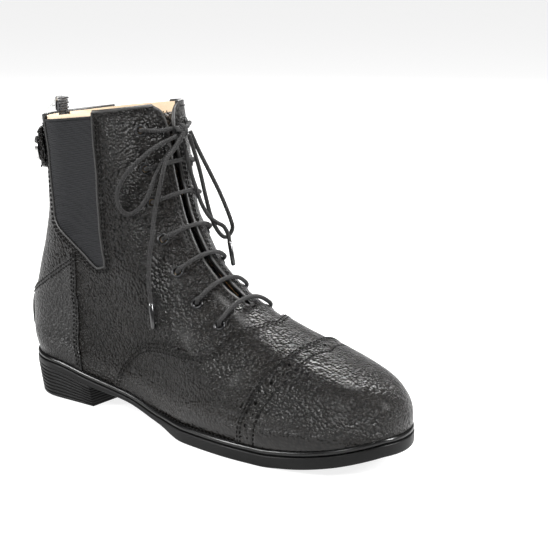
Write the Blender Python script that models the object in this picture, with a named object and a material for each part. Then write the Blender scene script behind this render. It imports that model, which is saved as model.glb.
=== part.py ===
"""Paddock boot for the right foot: laced front, elastic side gussets and a zip up the back.

Metres, +Z up, +X towards the toe, -Y the outer (lateral) side. The origin lies on the floor under
the middle of the heel block. "along" runs from the back of the heel towards the toe.

The upper's skin is one function, skin(station, around). A station is a line across the side view,
from the front line (toe, instep, collar front) to the base line (sole edge, then up the back).
"around" runs from -1 (lateral) through 0 (front line) to 1 (medial).
"""
from collections import namedtuple
from math import cos, pi, radians, sin

import bmesh
import bpy
import numpy as np
from mathutils import Vector

# Driving dimensions of the last
LAST_LENGTH = 0.273
BALL_WIDTH = 0.092
INSTEP_HEIGHT = 0.0735
HEEL_RISE = 0.0185
TOE_SPRING = 0.0114
COLLAR_FRONT = 0.192
COLLAR_BACK = 0.180
SHAFT_LENGTH = 0.105
SHAFT_WIDTH = 0.072
ANKLE_WIDTH = 0.066
HEEL_ROUND = 0.031
SHAFT_ROUND = 0.036
SIDE_BULGE = 0.0022
BULGE_HEIGHT = 0.009
SHAFT_BLEND_LOW = 0.045
SHAFT_BLEND_HIGH = 0.110

# Thicknesses and clearances
GAP = 0.0003
WALL = 0.0020
OVERLAY = 0.0011
ELASTIC = 0.0014
TONGUE_THICKNESS = 0.0022
INSOLE_THICKNESS = 0.0025
WELT_THICKNESS = 0.0032
OUTSOLE_THICKNESS = 0.0072
WELT_MARGIN = 0.0038
HEEL_MARGIN = 0.0022

FLAT_FEATHER = OUTSOLE_THICKNESS + GAP + WELT_THICKNESS + GAP

# Widths at the feather line in shares of BALL_WIDTH, lifts in shares of HEEL_RISE and TOE_SPRING
Outline = namedtuple("Outline", "along lateral medial heel_lift toe_lift")
OUTLINE = [
    Outline(0.00, 0.332, 0.325, 1.00, 0.0),
    Outline(0.12, 0.327, 0.332, 0.87, 0.0),
    Outline(0.22, 0.322, 0.325, 0.61, 0.0),
    Outline(0.35, 0.330, 0.300, 0.37, 0.0),
    Outline(0.47, 0.378, 0.325, 0.07, 0.0),
    Outline(0.56, 0.435, 0.400, 0.00, 0.0),
    Outline(0.68, 0.460, 0.490, 0.00, 0.0),
    Outline(0.76, 0.450, 0.515, 0.00, 0.0),
    Outline(0.82, 0.444, 0.505, 0.00, 0.13),
    Outline(0.92, 0.448, 0.465, 0.00, 0.53),
    Outline(1.00, 0.440, 0.435, 0.00, 1.0),
]
Sole = namedtuple("Sole", "along thickness")
SOLE = [
    Sole(0.00, 0.60),
    Sole(0.23, 0.58),
    Sole(0.34, 0.42),
    Sole(0.45, 0.50),
    Sole(0.54, 1.00),
    Sole(1.00, 1.00),
]
# Section of the welt's edge: inset from its widest line, and height in shares of its thickness
WELT_SECTION = [(0.0012, 0.0), (0.0003, 0.18), (0.0, 0.45), (0.0003, 0.75), (0.0014, 1.0)]
TOE_ROUND_FROM = 0.72
TOE_FULLNESS = 2.66
HEEL_FULLNESS = 2.1

# Front line: along = LAST_LENGTH * foot + SHAFT_LENGTH * shaft. rise goes 0 to 1 up to the instep and
# 1 to 2 up to the collar. base is the foot of the station in shares of LAST_LENGTH, up its height on
# the back line. depth is how far back the front rounding reaches, fullness how square it is.
Front = namedtuple("Front", "foot shaft rise base up depth fullness")
FRONT = [
    Front(1.000, 0.00, 0.360, 1.000, 0.0, 1.00, 2.6),
    Front(0.993, 0.00, 0.478, 0.993, 0.0, 1.00, 2.6),
    Front(0.970, 0.00, 0.584, 0.970, 0.0, 1.00, 2.5),
    Front(0.930, 0.00, 0.663, 0.930, 0.0, 1.00, 2.4),
    Front(0.870, 0.00, 0.732, 0.870, 0.0, 1.00, 2.3),
    Front(0.800, 0.00, 0.807, 0.800, 0.0, 0.97, 2.2),
    Front(0.720, 0.00, 0.905, 0.720, 0.0, 0.90, 2.1),
    Front(0.650, 0.00, 1.000, 0.640, 0.0, 0.76, 2.0),
    Front(0.550, 0.056, 1.093, 0.520, 0.0, 0.60, 2.0),
    Front(0.440, 0.170, 1.211, 0.350, 0.0, 0.46, 2.0),
    Front(0.290, 0.430, 1.376, 0.120, 0.0, 0.34, 2.0),
    Front(0.110, 0.795, 1.637, 0.000, 0.4, 0.34, 2.0),
    Front(0.000, 1.000, 2.000, 0.000, 1.0, 0.36, 2.0),
]
TOE = 0
COLLAR = len(FRONT) - 1

# Back line from the feather to the collar, in shares of its height and of LAST_LENGTH
Back = namedtuple("Back", "up along")
BACK = [
    Back(0.00, 0.000),
    Back(0.10, -0.012),
    Back(0.20, -0.012),
    Back(0.35, 0.010),
    Back(0.50, 0.038),
    Back(0.65, 0.056),
    Back(0.82, 0.058),
    Back(1.00, 0.048),
]


def table(rows, key, name, at):
    """Reads a column of a table at any place by smooth interpolation that never overshoots a row."""
    places = np.array([getattr(row, key) for row in rows], float)
    values = np.array([getattr(row, name) for row in rows], float)
    return smooth_read(places, values, at)


def by_row(rows, name, at):
    """Reads a column of a table by row number."""
    values = np.array([getattr(row, name) for row in rows], float)
    return smooth_read(np.arange(len(rows), dtype=float), values, at)


def smooth_read(places, values, at):
    """Monotone cubic interpolation (Fritsch and Carlson)."""
    at = np.asarray(at, float)
    steps = np.diff(places)
    slopes = np.diff(values) / steps
    tangents = np.zeros(len(places))
    before, after = slopes[:-1], slopes[1:]
    same = before * after > 0
    near, far = 2 * steps[1:] + steps[:-1], steps[1:] + 2 * steps[:-1]
    safe_before = np.where(same, before, 1.0)
    safe_after = np.where(same, after, 1.0)
    tangents[1:-1] = np.where(same, (near + far) / (near / safe_before + far / safe_after), 0.0)
    tangents[0], tangents[-1] = slopes[0], slopes[-1]
    k = np.clip(np.searchsorted(places, at, side="right") - 1, 0, len(places) - 2)
    t = np.clip((at - places[k]) / steps[k], 0, 1)
    start = (2 * t**3 - 3 * t**2 + 1) * values[k] + (t**3 - 2 * t**2 + t) * steps[k] * tangents[k]
    end = (3 * t**2 - 2 * t**3) * values[k + 1] + (t**3 - t**2) * steps[k] * tangents[k + 1]
    return start + end


def smoothstep(low, high, value):
    t = np.clip((value - low) / (high - low), 0, 1)
    return t * t * (3 - 2 * t)


def feather_height(along):
    """Height of the line where the upper meets the welt."""
    share = np.clip(along / LAST_LENGTH, 0, 1)
    heel = HEEL_RISE * table(OUTLINE, "along", "heel_lift", share)
    toe = TOE_SPRING * table(OUTLINE, "along", "toe_lift", share)
    return FLAT_FEATHER + heel + toe


BACK_FEATHER = float(feather_height(0.0))
BACK_HEIGHT = COLLAR_BACK - BACK_FEATHER


def foot_half(along, side):
    """Half width at the feather line before the heel is rounded; side is -1 lateral, 1 medial."""
    share = np.clip(along / LAST_LENGTH, 0, 1)
    lateral = table(OUTLINE, "along", "lateral", share)
    medial = table(OUTLINE, "along", "medial", share)
    tip = np.clip((share - TOE_ROUND_FROM) / (1 - TOE_ROUND_FROM), 0, 1)
    rounding = np.sqrt(np.maximum(0, 1 - tip**TOE_FULLNESS))
    return BALL_WIDTH * np.where(side < 0, lateral, medial) * rounding


def heel_round(run, height):
    """Share of the width at this distance in front of the back line."""
    reach = HEEL_ROUND + (SHAFT_ROUND - HEEL_ROUND) * smoothstep(SHAFT_BLEND_LOW, SHAFT_BLEND_HIGH, height)
    t = np.clip(1 - run / reach, 0, 1)
    return np.sqrt(np.maximum(0, 1 - t**HEEL_FULLNESS))


def front_line(station):
    foot = by_row(FRONT, "foot", station)
    shaft = by_row(FRONT, "shaft", station)
    rise = by_row(FRONT, "rise", station)
    along = LAST_LENGTH * foot + SHAFT_LENGTH * shaft
    height = INSTEP_HEIGHT * np.minimum(rise, 1) + (COLLAR_FRONT - INSTEP_HEIGHT) * np.maximum(rise - 1, 0)
    return along, height


def back_line(height):
    up = np.clip((height - BACK_FEATHER) / BACK_HEIGHT, 0, 1)
    return LAST_LENGTH * table(BACK, "up", "along", up)


def base_place(station):
    """Signed place on the base line: below 0 on the feather, above 0 up the back."""
    base = by_row(FRONT, "base", station)
    up = by_row(FRONT, "up", station)
    return BACK_HEIGHT * up - LAST_LENGTH * base


def half_width(along, height, side):
    """Half width of the skin before the front and the back are rounded."""
    above = height - feather_height(along)
    bulge = SIDE_BULGE * np.sin(pi / 2 * np.clip(above / BULGE_HEIGHT, 0, 2))
    foot = foot_half(along, side) + bulge * heel_round(along, 0.0) * foot_half(along, side) / (BALL_WIDTH / 2)
    shaft = (ANKLE_WIDTH + (SHAFT_WIDTH - ANKLE_WIDTH) * smoothstep(SHAFT_BLEND_LOW, COLLAR_BACK, height)) / 2
    blend = smoothstep(SHAFT_BLEND_LOW, SHAFT_BLEND_HIGH, height)
    return foot + (shaft - foot) * blend


def skin(station, around):
    """Points of the upper's outer skin as an array of (along, across, height)."""
    station, around = np.broadcast_arrays(np.asarray(station, float), np.asarray(around, float))
    side = np.where(around < 0, -1.0, 1.0)
    turn = np.abs(around)
    front_along, front_height = front_line(station)
    place = base_place(station)
    base_height = np.where(place < 0, feather_height(-place), BACK_FEATHER + place)
    base_along = np.where(place < 0, -place, back_line(base_height))
    closing = smoothstep(-LAST_LENGTH / 3, 0, place)
    share = (1 - closing) * (1 - np.cos(pi / 2 * turn)) + closing * (1 - np.cos(pi * turn)) / 2
    along = front_along + share * (base_along - front_along)
    height = front_height + share * (base_height - front_height)
    depth = np.clip(share / by_row(FRONT, "depth", station), 0, 1)
    fullness = by_row(FRONT, "fullness", station)
    rounding = (1 - (1 - depth) ** fullness) ** (1 / fullness)
    width = half_width(along, height, side) * rounding * heel_round(along - back_line(height), height)
    return np.stack([along, side * width, height], axis=-1)


def skin_normal(station, around):
    """Outward unit normals of the skin by differences that stay inside it."""
    station, around = np.broadcast_arrays(np.asarray(station, float), np.asarray(around, float))
    step = 0.004
    ahead = np.minimum(station + step, COLLAR)
    behind = np.maximum(station - step, TOE)
    along_station = skin(ahead, around) - skin(behind, around)
    turn_step = 0.012
    high = np.minimum(around + turn_step, 1.0)
    low = np.maximum(around - turn_step, -1.0)
    along_turn = skin(station, high) - skin(station, low)
    normal = np.cross(along_turn, along_station)
    closed_back = (base_place(station) > 0) & (np.abs(around) > 1 - 1e-9)
    middle = closed_back | (station <= TOE + 1e-9) | (np.abs(around) < 1e-9)
    normal[..., 1] = np.where(middle, 0.0, normal[..., 1])
    length = np.linalg.norm(normal, axis=-1, keepdims=True)
    return normal / np.maximum(length, 1e-12)


def surface(station, around, offset=0.0):
    """Points at a distance outside (or, below zero, inside) the skin."""
    offset = np.asarray(offset, float)
    return skin(station, around) + offset[..., None] * skin_normal(station, around)


# The grid that the upper and every layer on it share
FOOT_STATIONS = 20
SHAFT_STATIONS = 8
TURNS = 10

# Seam of the vamp over the quarter, from the front line down to the feather
Seam = namedtuple("Seam", "share station around")
VAMP_SEAM = [
    Seam(0.00, 6.60, 0.000),
    Seam(0.12, 6.80, 0.145),
    Seam(0.22, 7.03, 0.265),
    Seam(0.33, 7.18, 0.400),
    Seam(0.42, 7.36, 0.505),
    Seam(0.55, 7.92, 0.590),
    Seam(0.66, 8.46, 0.640),
    Seam(0.76, 8.90, 0.705),
    Seam(0.84, 9.14, 0.775),
    Seam(0.92, 9.23, 0.880),
    Seam(1.00, 9.20, 1.000),
]
CAP_SEAM = [
    Seam(0.00, 5.30, 0.000),
    Seam(0.17, 5.38, 0.170),
    Seam(0.30, 5.46, 0.300),
    Seam(0.46, 5.66, 0.460),
    Seam(0.66, 5.94, 0.665),
    Seam(0.81, 6.12, 0.810),
    Seam(1.00, 6.24, 1.000),
]
# Edge of the heel counter from the back seam down to the feather in front of the heel
COUNTER_SEAM = [
    Seam(0.00, 10.72, 1.000),
    Seam(0.25, 10.69, 0.840),
    Seam(0.50, 10.62, 0.520),
    Seam(0.65, 10.32, 0.575),
    Seam(0.82, 9.90, 0.800),
    Seam(1.00, 9.60, 1.000),
]

# Elastic gusset from the collar down to its tip, with its front and its back edge
Gusset = namedtuple("Gusset", "share front_station front_around back_station back_around")
GUSSET = [
    Gusset(0.00, 12.00, 0.375, 12.00, 0.712),
    Gusset(0.25, 11.65, 0.388, 11.76, 0.710),
    Gusset(0.50, 11.25, 0.388, 11.48, 0.690),
    Gusset(0.70, 10.90, 0.382, 11.24, 0.655),
    Gusset(0.85, 10.62, 0.378, 10.96, 0.565),
    Gusset(0.95, 10.44, 0.382, 10.66, 0.470),
    Gusset(1.00, 10.37, 0.394, 10.42, 0.420),
]
GUSSET_DROP = 0.0025
GUSSET_CLEARANCE = 0.0009

# Half width of the gap between the two facings
Throat = namedtuple("Throat", "station half")
THROAT = [
    Throat(7.30, 0.0010),
    Throat(7.60, 0.0030),
    Throat(8.10, 0.0040),
    Throat(9.40, 0.0036),
    Throat(10.60, 0.0031),
    Throat(11.70, 0.0031),
    Throat(11.90, 0.0058),
    Throat(12.00, 0.0120),
]

# Eyelets from the bottom pair to the top pair, lateral side; the medial side mirrors them
Eyelet = namedtuple("Eyelet", "station around")
EYELETS = [
    Eyelet(7.60, 0.345),
    Eyelet(8.40, 0.320),
    Eyelet(9.28, 0.260),
    Eyelet(10.08, 0.172),
    Eyelet(10.74, 0.155),
    Eyelet(11.24, 0.160),
    Eyelet(11.72, 0.160),
]
EYELET_HOLE = 0.0020
EYELET_BARREL = 0.0027
EYELET_FLANGE = 0.0037
EYELET_RIM = 0.0005
EYELET_SEGMENTS = 8
LACE = 0.0026
LACE_CLEARANCE = 0.0009

LACE_INSIDE = WALL + GAP + LACE / 2 + LACE_CLEARANCE
LACE_OVER = GAP + EYELET_RIM + GAP + LACE / 2

# Bow: where its knot sits, and the directions (outward, across, up the front line) that leave it
KNOT_STATION = 11.62
KNOT_HEIGHT = 0.0066
KNOT_RADII = (0.0038, 0.0050, 0.0040)
KNOT_GAP = 0.0006
KNOT_TURNS = 14
LACE_EXIT = (-0.35, 0.85, 0.45)
LOOP_NEAR_OUT = (0.28, 0.90, -0.36)
LOOP_NEAR_BACK = (0.35, 0.34, -0.88)
TAIL_NEAR_EXIT = (0.93, 0.38, -0.15)
LOOP_FAR_OUT = (0.50, 0.85, -0.12)
LOOP_FAR_BACK = (0.80, 0.42, -0.43)
TAIL_FAR_EXIT = (-0.10, 0.25, -0.95)
AGLET = 0.0030
AGLET_LENGTH = 0.015

# Cords of the bow as places over the skin; height is in shares of LACE
Cord = namedtuple("Cord", "station around height")
LOOP_NEAR = [
    Cord(11.500, -0.110, 2.25),
    Cord(11.430, -0.160, 2.00),
    Cord(11.290, -0.236, 1.20),
    Cord(11.100, -0.284, 0.90),
    Cord(10.890, -0.282, 0.90),
    Cord(10.740, -0.250, 0.95),
    Cord(10.745, -0.208, 1.50),
    Cord(10.860, -0.174, 2.05),
    Cord(11.120, -0.132, 2.15),
    Cord(11.340, -0.080, 2.30),
]
TAIL_NEAR = [
    Cord(11.420, -0.056, 3.80),
    Cord(11.290, -0.094, 3.55),
    Cord(10.980, -0.124, 3.20),
    Cord(10.610, -0.156, 2.30),
    Cord(10.180, -0.204, 2.05),
    Cord(9.850, -0.278, 1.20),
    Cord(9.470, -0.402, 0.98),
    Cord(9.230, -0.500, 0.98),
]
LOOP_FAR = [
    Cord(11.310, 0.065, 4.10),
    Cord(10.950, 0.090, 5.10),
    Cord(10.570, 0.115, 5.95),
    Cord(10.010, 0.150, 6.00),
    Cord(9.810, 0.178, 5.35),
    Cord(9.700, 0.190, 3.30),
    Cord(9.830, 0.160, 2.25),
    Cord(10.150, 0.112, 2.25),
    Cord(10.620, 0.080, 2.90),
    Cord(11.070, 0.062, 3.35),
]
TAIL_FAR = [
    Cord(11.360, 0.020, 2.20),
    Cord(11.200, 0.024, 2.15),
    Cord(10.950, 0.034, 2.10),
    Cord(10.700, 0.045, 2.10),
    Cord(10.450, 0.055, 2.15),
    Cord(10.180, 0.080, 2.45),
    Cord(10.000, 0.100, 3.35),
    Cord(9.860, 0.115, 4.30),
    Cord(9.640, 0.140, 4.30),
    Cord(9.470, 0.160, 3.85),
]
CORD_STEPS = 4
# Hidden run back up the lace's far side, then across under the gap
RETURN_RUN = [
    Eyelet(7.78, 0.290),
    Eyelet(8.10, 0.215),
    Eyelet(8.70, 0.170),
    Eyelet(9.40, 0.120),
    Eyelet(10.10, 0.085),
    Eyelet(10.80, 0.080),
    Eyelet(11.15, 0.070),
    Eyelet(11.36, 0.000),
    Eyelet(11.55, -0.080),
    Eyelet(11.66, -0.130),
]

# Tongue behind the facings, with the room that the hidden lace needs
TONGUE_DEPTH = LACE_INSIDE + LACE / 2 + LACE_CLEARANCE
Tongue = namedtuple("Tongue", "station half_around depth")
TONGUE = [
    Tongue(6.95, 0.16, 0.46),
    Tongue(7.25, 0.24, 0.62),
    Tongue(7.55, 0.31, 1.00),
    Tongue(8.40, 0.37, 1.00),
    Tongue(9.28, 0.33, 1.00),
    Tongue(10.08, 0.25, 1.00),
    Tongue(10.74, 0.23, 1.00),
    Tongue(11.24, 0.23, 1.00),
    Tongue(11.84, 0.23, 1.00),
]
TONGUE_STEPS = 13

SIDES = ((-1, "lateral"), (1, "medial"))
GUSSET_LENGTH = 0.085
GUSSET_RECESS = 0.0003

# Lens-shaped spur rest round the back of the heel
SPUR_LOW = 0.0345
SPUR_HIGH = 0.0685
SPUR_REACH = 0.15
SPUR_EDGE = 0.0007
SPUR_THICKNESS = 0.0030
SPUR_ROWS = 7
SPUR_COLUMNS = 11

# Reach of the cutters and steps of the meshes
CUT_ABOVE = 0.0120
THROAT_DEPTH = 0.0100
THROAT_STEPS = 28
CUT_OUT = 0.0070
CUT_IN = 0.0060
CUT_BELOW = 0.0100
SEAM_STEPS = 12
GUSSET_ROWS = 13
GUSSET_COLUMNS = 6
LOOP_STEPS = 26

# Zip at the back seam, with its slider at the top and the pull that hinges on the slider
ZIP_HALF = 0.0050
ZIP_BOTTOM = 0.072
ZIP_DEPTH = 0.0015
ZIP_RECESS = 0.0004
ZIP_RISE = 0.0068
ZIP_TOP = COLLAR_BACK + ZIP_RISE
ZIP_ROUND = 0.034
ZIP_ROWS = 11
SLIDER_HALF = 0.0040
SLIDER_LOW = ZIP_TOP - 0.0056
SLIDER_HIGH = ZIP_TOP + 0.0036
SLIDER_BRIDGE = ZIP_TOP + 0.0006
SLIDER_PLATE = 0.0012
SLIDER_PLAY = 0.0004
BAIL_HALF = 0.0010
BAIL_WIRE = 0.0009
BAIL_REACH = 0.0031
BAIL_LOW = SLIDER_LOW + 0.0034
BAIL_HIGH = SLIDER_HIGH - 0.0004
PULL_WIRE = 0.0010
PULL_HALF = 0.0031
PULL_NECK = 0.0052
PULL_LENGTH = 0.0190
PULL_ANGLE = 42.0

# Snap strap over the zip, and its button on the lateral corner
STRAP_HIGH = COLLAR_BACK - 0.0055
STRAP_LOW = STRAP_HIGH - 0.0270
STRAP_LATERAL = 0.735
STRAP_MEDIAL = 0.720
STRAP_REST = 0.0015
STRAP_THICKNESS = 0.0024
STRAP_ROWS = 5
STRAP_COLUMNS = 21
STRAP_CORNER = 0.0100
BUTTON_TURN = 0.818
BUTTON_HEIGHT = (STRAP_LOW + STRAP_HIGH) / 2
BUTTON_RADIUS = 0.0078
BUTTON_THICKNESS = 0.0026
BUTTON_RIM = 0.0008
BUTTON_SEAT = 0.0004
BUTTON_SEGMENTS = 20

# Heel block
HEEL_BREAST = 0.0620
HEEL_TAPER = 0.0030
HEEL_RIBS = 7
RIB_DEPTH = 0.0006
HEEL_SPAN = 10
RIB_WIDTH = 0.07
EDGE_ROUND = 0.0009
INSOLE_PLAY = 0.0008
HEEL_REST = HEEL_BREAST / 2


def corner_station():
    """Station whose base point is the heel's back corner."""
    stations = np.linspace(COLLAR - 2, COLLAR - 1, 2001)
    return float(np.interp(0.0, base_place(stations), stations))


CORNER = corner_station()


def spaced_stations(start, end, count):
    """Stations spread evenly by the length of the front line, the base line and the toe's roundness."""
    fine = np.linspace(start, end, 801)
    front = np.stack(front_line(fine), axis=-1)
    base = skin(fine, 1.0)
    travel = np.linalg.norm(np.diff(front, axis=0), axis=1) + np.linalg.norm(np.diff(base, axis=0), axis=1)
    length = np.concatenate([[0.0], np.cumsum(travel)])
    return np.interp(np.linspace(0, length[-1], count + 1), length, fine)


def grid_stations():
    foot = spaced_stations(TOE, CORNER, FOOT_STATIONS)
    shaft = spaced_stations(CORNER, COLLAR, SHAFT_STATIONS)
    return np.concatenate([foot, shaft[1:]])


GRID = grid_stations()
AROUND = np.linspace(-1, 1, 2 * TURNS + 1)


def put(point):
    """Point of the last moved into the part's own frame."""
    return Vector((float(point[0]) - HEEL_REST, float(point[1]), float(point[2])))


def make_material(name, colour, roughness, metallic=0.0):
    material = bpy.data.materials.new(name)
    material.use_nodes = True
    shader = material.node_tree.nodes["Principled BSDF"]
    shader.inputs["Base Color"].default_value = (*colour, 1.0)
    shader.inputs["Roughness"].default_value = roughness
    shader.inputs["Metallic"].default_value = metallic
    material.diffuse_color = (*colour, 1.0)
    return material


def add_mesh(name, points, faces, material=None, sharp_angle=40.0):
    mesh = bpy.data.meshes.new(name)
    mesh.from_pydata([put(point) for point in points], [], [list(face) for face in faces])
    mesh.validate()
    mesh.shade_smooth()
    mesh.set_sharp_from_angle(angle=radians(sharp_angle))
    obj = bpy.data.objects.new(name, mesh)
    bpy.context.scene.collection.objects.link(obj)
    if material is None:
        obj.hide_render = True
        obj.display_type = "WIRE"
    else:
        mesh.materials.append(material)
    return obj


def fix_facing(obj):
    """Turns a closed mesh inside out if its faces point inwards."""
    shape = bmesh.new()
    shape.from_mesh(obj.data)
    if shape.calc_volume(signed=True) < 0:
        bmesh.ops.reverse_faces(shape, faces=shape.faces)
        shape.to_mesh(obj.data)
    shape.free()
    return obj


def shell_faces(outer):
    """Merges coinciding grid points. Returns their first places and the triangles, mirrored about the middle."""
    rows, columns = outer.shape[:2]
    flat = np.round(outer.reshape(-1, 3), 7) + 0.0
    _, first, index = np.unique(flat, axis=0, return_index=True, return_inverse=True)
    index = index.reshape(rows, columns)
    faces = []
    for i in range(rows - 1):
        for j in range(columns - 1):
            a, b, c, d = (int(v) for v in (index[i, j], index[i, j + 1], index[i + 1, j + 1], index[i + 1, j]))
            halves = ((a, b, d), (b, c, d)) if 2 * j < columns - 1 else ((a, b, c), (a, c, d))
            faces += [half for half in halves if len(set(half)) == 3]
    return first, faces


def add_shell(name, outer, inner, material=None, sharp_angle=40.0):
    """Closed solid between an outer and an inner grid of the same size."""
    first, faces = shell_faces(outer)
    count = len(first)
    points = np.concatenate([outer.reshape(-1, 3)[first], inner.reshape(-1, 3)[first]])
    directed = {(face[k - 1], face[k]) for face in faces for k in range(len(face))}
    inside = [[v + count for v in reversed(face)] for face in faces]
    rim = [[b, a, a + count, b + count] for a, b in directed if (b, a) not in directed]
    used = sorted({v for face in faces for v in face})
    lookup = {v: k for k, v in enumerate(used)}
    lookup.update({v + count: k + len(used) for k, v in enumerate(used)})
    order = used + [v + count for v in used]
    everything = [[lookup[v] for v in face] for face in faces + inside + sorted(rim)]
    return fix_facing(add_mesh(name, points[order], everything, material, sharp_angle))


def grid_layer(stations, low, high):
    """Outer and inner grids of a layer on the shared grid; its lower edge follows the feather."""
    station, around = np.meshgrid(stations, AROUND, indexing="ij")
    outer = surface(station, around, high)
    inner = surface(station, around, low)
    on_feather = (np.abs(around) > 1 - 1e-9) & (base_place(station) < 1e-9)
    for points in (outer, inner):
        points[..., 2] = np.where(on_feather, feather_height(points[..., 0]), points[..., 2])
    return outer, inner


def curve_read(rows, share):
    return table(rows, "share", "station", share), table(rows, "share", "around", share)


def add_block(name, station, around, low, high, material=None):
    """Solid between two offsets of the skin over any grid of stations and turns."""
    return add_shell(name, surface(station, around, high), surface(station, around, low), material)


def add_cutter(name, station, around, first_row=0.0):
    """Block well through the wall and every layer on it, with its first row moved up."""
    grids = []
    for reach in (CUT_OUT, -CUT_IN):
        points = surface(station, around, np.full(station.shape, reach))
        grids.append(np.concatenate([points[:1] + [0.0, 0.0, first_row], points], axis=0))
    return add_shell(name, *grids)


def boolean(obj, cutter, operation="DIFFERENCE"):
    modifier = obj.modifiers.new(cutter.name, "BOOLEAN")
    modifier.operation = operation
    modifier.solver = "EXACT"
    modifier.object = cutter


def seam_ring(rows):
    """Stations and turns along a seam from the lateral feather over to the medial one."""
    share = (np.arange(-SEAM_STEPS, SEAM_STEPS) + 0.5) / (SEAM_STEPS - 0.5)
    station, around = curve_read(rows, np.abs(share))
    return station, around * np.sign(share)


def region(name, station, around, push, flare):
    """Cutter on one side of a ring round the boot: a cone inside the ring, widening away from it."""
    outer = surface(station, around, CUT_OUT)
    inner = surface(station, around, -CUT_IN)
    for ring in (outer, inner):
        ring[[0, -1], 2] -= CUT_BELOW
    count = len(outer)
    centre = inner.mean(axis=0)
    wide = centre + (outer - centre) * flare + push
    far = wide + 8 * np.asarray(push)
    points = np.concatenate([[centre], inner, outer, wide, far, [far.mean(axis=0)]])
    faces = []
    last = 4 * count + 1
    for n in range(count):
        m = (n + 1) % count
        faces += [(0, 1 + m, 1 + n), (last, 1 + 3 * count + n, 1 + 3 * count + m)]
        for k in range(3):
            low, high = 1 + k * count, 1 + (k + 1) * count
            faces += [(low + n, low + m, high + m), (low + n, high + m, high + n)]
    return fix_facing(add_mesh(name, points, faces))


def toe_region(name, seam):
    """Cutter from a seam forwards over the toe."""
    station, around = seam_ring(seam)
    return region(name, station, around, (0.025, 0.0, 0.0), (1.0, 2.2, 2.2))


def counter_region(name):
    """Cutter round the heel, below and behind the counter's seam."""
    station, around = seam_ring(COUNTER_SEAM)
    return region(name, station, around, (-0.015, 0.0, -0.022), (1.2, 2.2, 1.0))


def gusset_grid(side, clearance=0.0, drop=0.0):
    """Stations and turns over the gusset, clear of the window's edges and below the collar by a drop."""
    share = np.linspace(drop / GUSSET_LENGTH, 1 - clearance / GUSSET_LENGTH, GUSSET_ROWS)
    edges = {name: table(GUSSET, "share", name, share)[:, None] for name in Gusset._fields[1:]}
    front = skin(edges["front_station"], edges["front_around"])
    back = skin(edges["back_station"], edges["back_around"])
    inset = clearance / np.linalg.norm(back - front, axis=-1)
    across = inset + (1 - 2 * inset) * np.linspace(0, 1, GUSSET_COLUMNS)
    station = (1 - across) * edges["front_station"] + across * edges["back_station"]
    around = (1 - across) * edges["front_around"] + across * edges["back_around"]
    return station, side * around


def eyelet_frame(eyelet, side):
    """Centre, outward normal, direction to the front line and direction up the row."""
    centre = skin(eyelet.station, side * eyelet.around)
    normal = skin_normal(eyelet.station, side * eyelet.around)
    inward = skin(eyelet.station, side * (eyelet.around - 0.02)) - centre
    inward -= normal * np.dot(inward, normal)
    inward /= np.linalg.norm(inward)
    return centre, normal, inward


def turned(name, centre, axis, profile, segments, material=None):
    """Closed solid of revolution from (radius, height) pairs listed round the section."""
    axis = np.asarray(axis, float) / np.linalg.norm(axis)
    side = np.cross(axis, [0.0, 0.0, 1.0] if abs(axis[2]) < 0.9 else [1.0, 0.0, 0.0])
    side /= np.linalg.norm(side)
    third = np.cross(axis, side)
    angles = np.arange(segments) * 2 * pi / segments
    points, faces = [], []
    hollow = min(radius for radius, _ in profile) > 0
    for radius, height in profile:
        for angle in angles:
            points.append(centre + axis * height + radius * (cos(angle) * side + sin(angle) * third))
    count = len(profile)
    for k in range(count if hollow else count - 1):
        for n in range(segments):
            m = (n + 1) % segments
            low, high = k * segments, ((k + 1) % count) * segments
            faces.append([low + n, low + m, high + m, high + n])
    shape = add_mesh(name, points, faces, material)
    work = bmesh.new()
    work.from_mesh(shape.data)
    bmesh.ops.remove_doubles(work, verts=work.verts, dist=1e-7)
    bmesh.ops.recalc_face_normals(work, faces=work.faces)
    work.to_mesh(shape.data)
    work.free()
    return shape


def feather_loop(margin, count=LOOP_STEPS):
    """Closed loop of (along, across) round the feather line, moved outwards by a margin function."""
    station = spaced_stations(TOE, CORNER, count)
    lateral = skin(station, -1.0)[:, :2]
    medial = skin(station, 1.0)[:, :2]
    loop = np.concatenate([lateral, medial[::-1][1:-1]])
    tangent = np.roll(loop, -1, axis=0) - np.roll(loop, 1, axis=0)
    normal = np.stack([-tangent[:, 1], tangent[:, 0]], axis=1)
    normal /= np.linalg.norm(normal, axis=1, keepdims=True)
    return loop + normal * margin(loop[:, 0])[:, None]


def edge_margin(along):
    """Width of the welt that shows round the upper, wider in the forefoot than at the heel."""
    return HEEL_MARGIN + (WELT_MARGIN - HEEL_MARGIN) * smoothstep(0.25, 0.60, along / LAST_LENGTH)


def sole_thickness(along):
    """Outsole without the welt: full in the forefoot, thin at the waist and at the heel seat."""
    share = np.clip(along / LAST_LENGTH, 0, 1)
    return OUTSOLE_THICKNESS * table(SOLE, "along", "thickness", share)


def sole_top(along):
    return feather_height(along) - GAP - WELT_THICKNESS - GAP


def sole_bottom(along):
    return sole_top(along) - sole_thickness(along)


def plate(name, rings, material):
    """Closed plate from loops of points, bottom first; the ends are strips across the loop."""
    count = len(rings[0])
    half = count // 2
    points = np.concatenate(rings)
    faces = []
    for k in range(len(rings) - 1):
        low, high = k * count, (k + 1) * count
        for n in range(count):
            m = (n + 1) % count
            faces.append([low + m, low + n, high + n, high + m])
    for base, turned_up in ((0, False), ((len(rings) - 1) * count, True)):
        for n in range(half):
            ring = [n, n + 1, (count - n - 1) % count, (count - n) % count]
            face = [base + v for k, v in enumerate(ring) if v != ring[k - 1]]
            faces.append(face if not turned_up else face[::-1])
    return fix_facing(add_mesh(name, points, faces, material))


def raised(loop, height):
    """Loop of (along, across) set at a height, or at a height function of along."""
    z = height(loop[:, 0]) if callable(height) else np.full(len(loop), height)
    return np.concatenate([loop, z[:, None]], axis=1)


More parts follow.
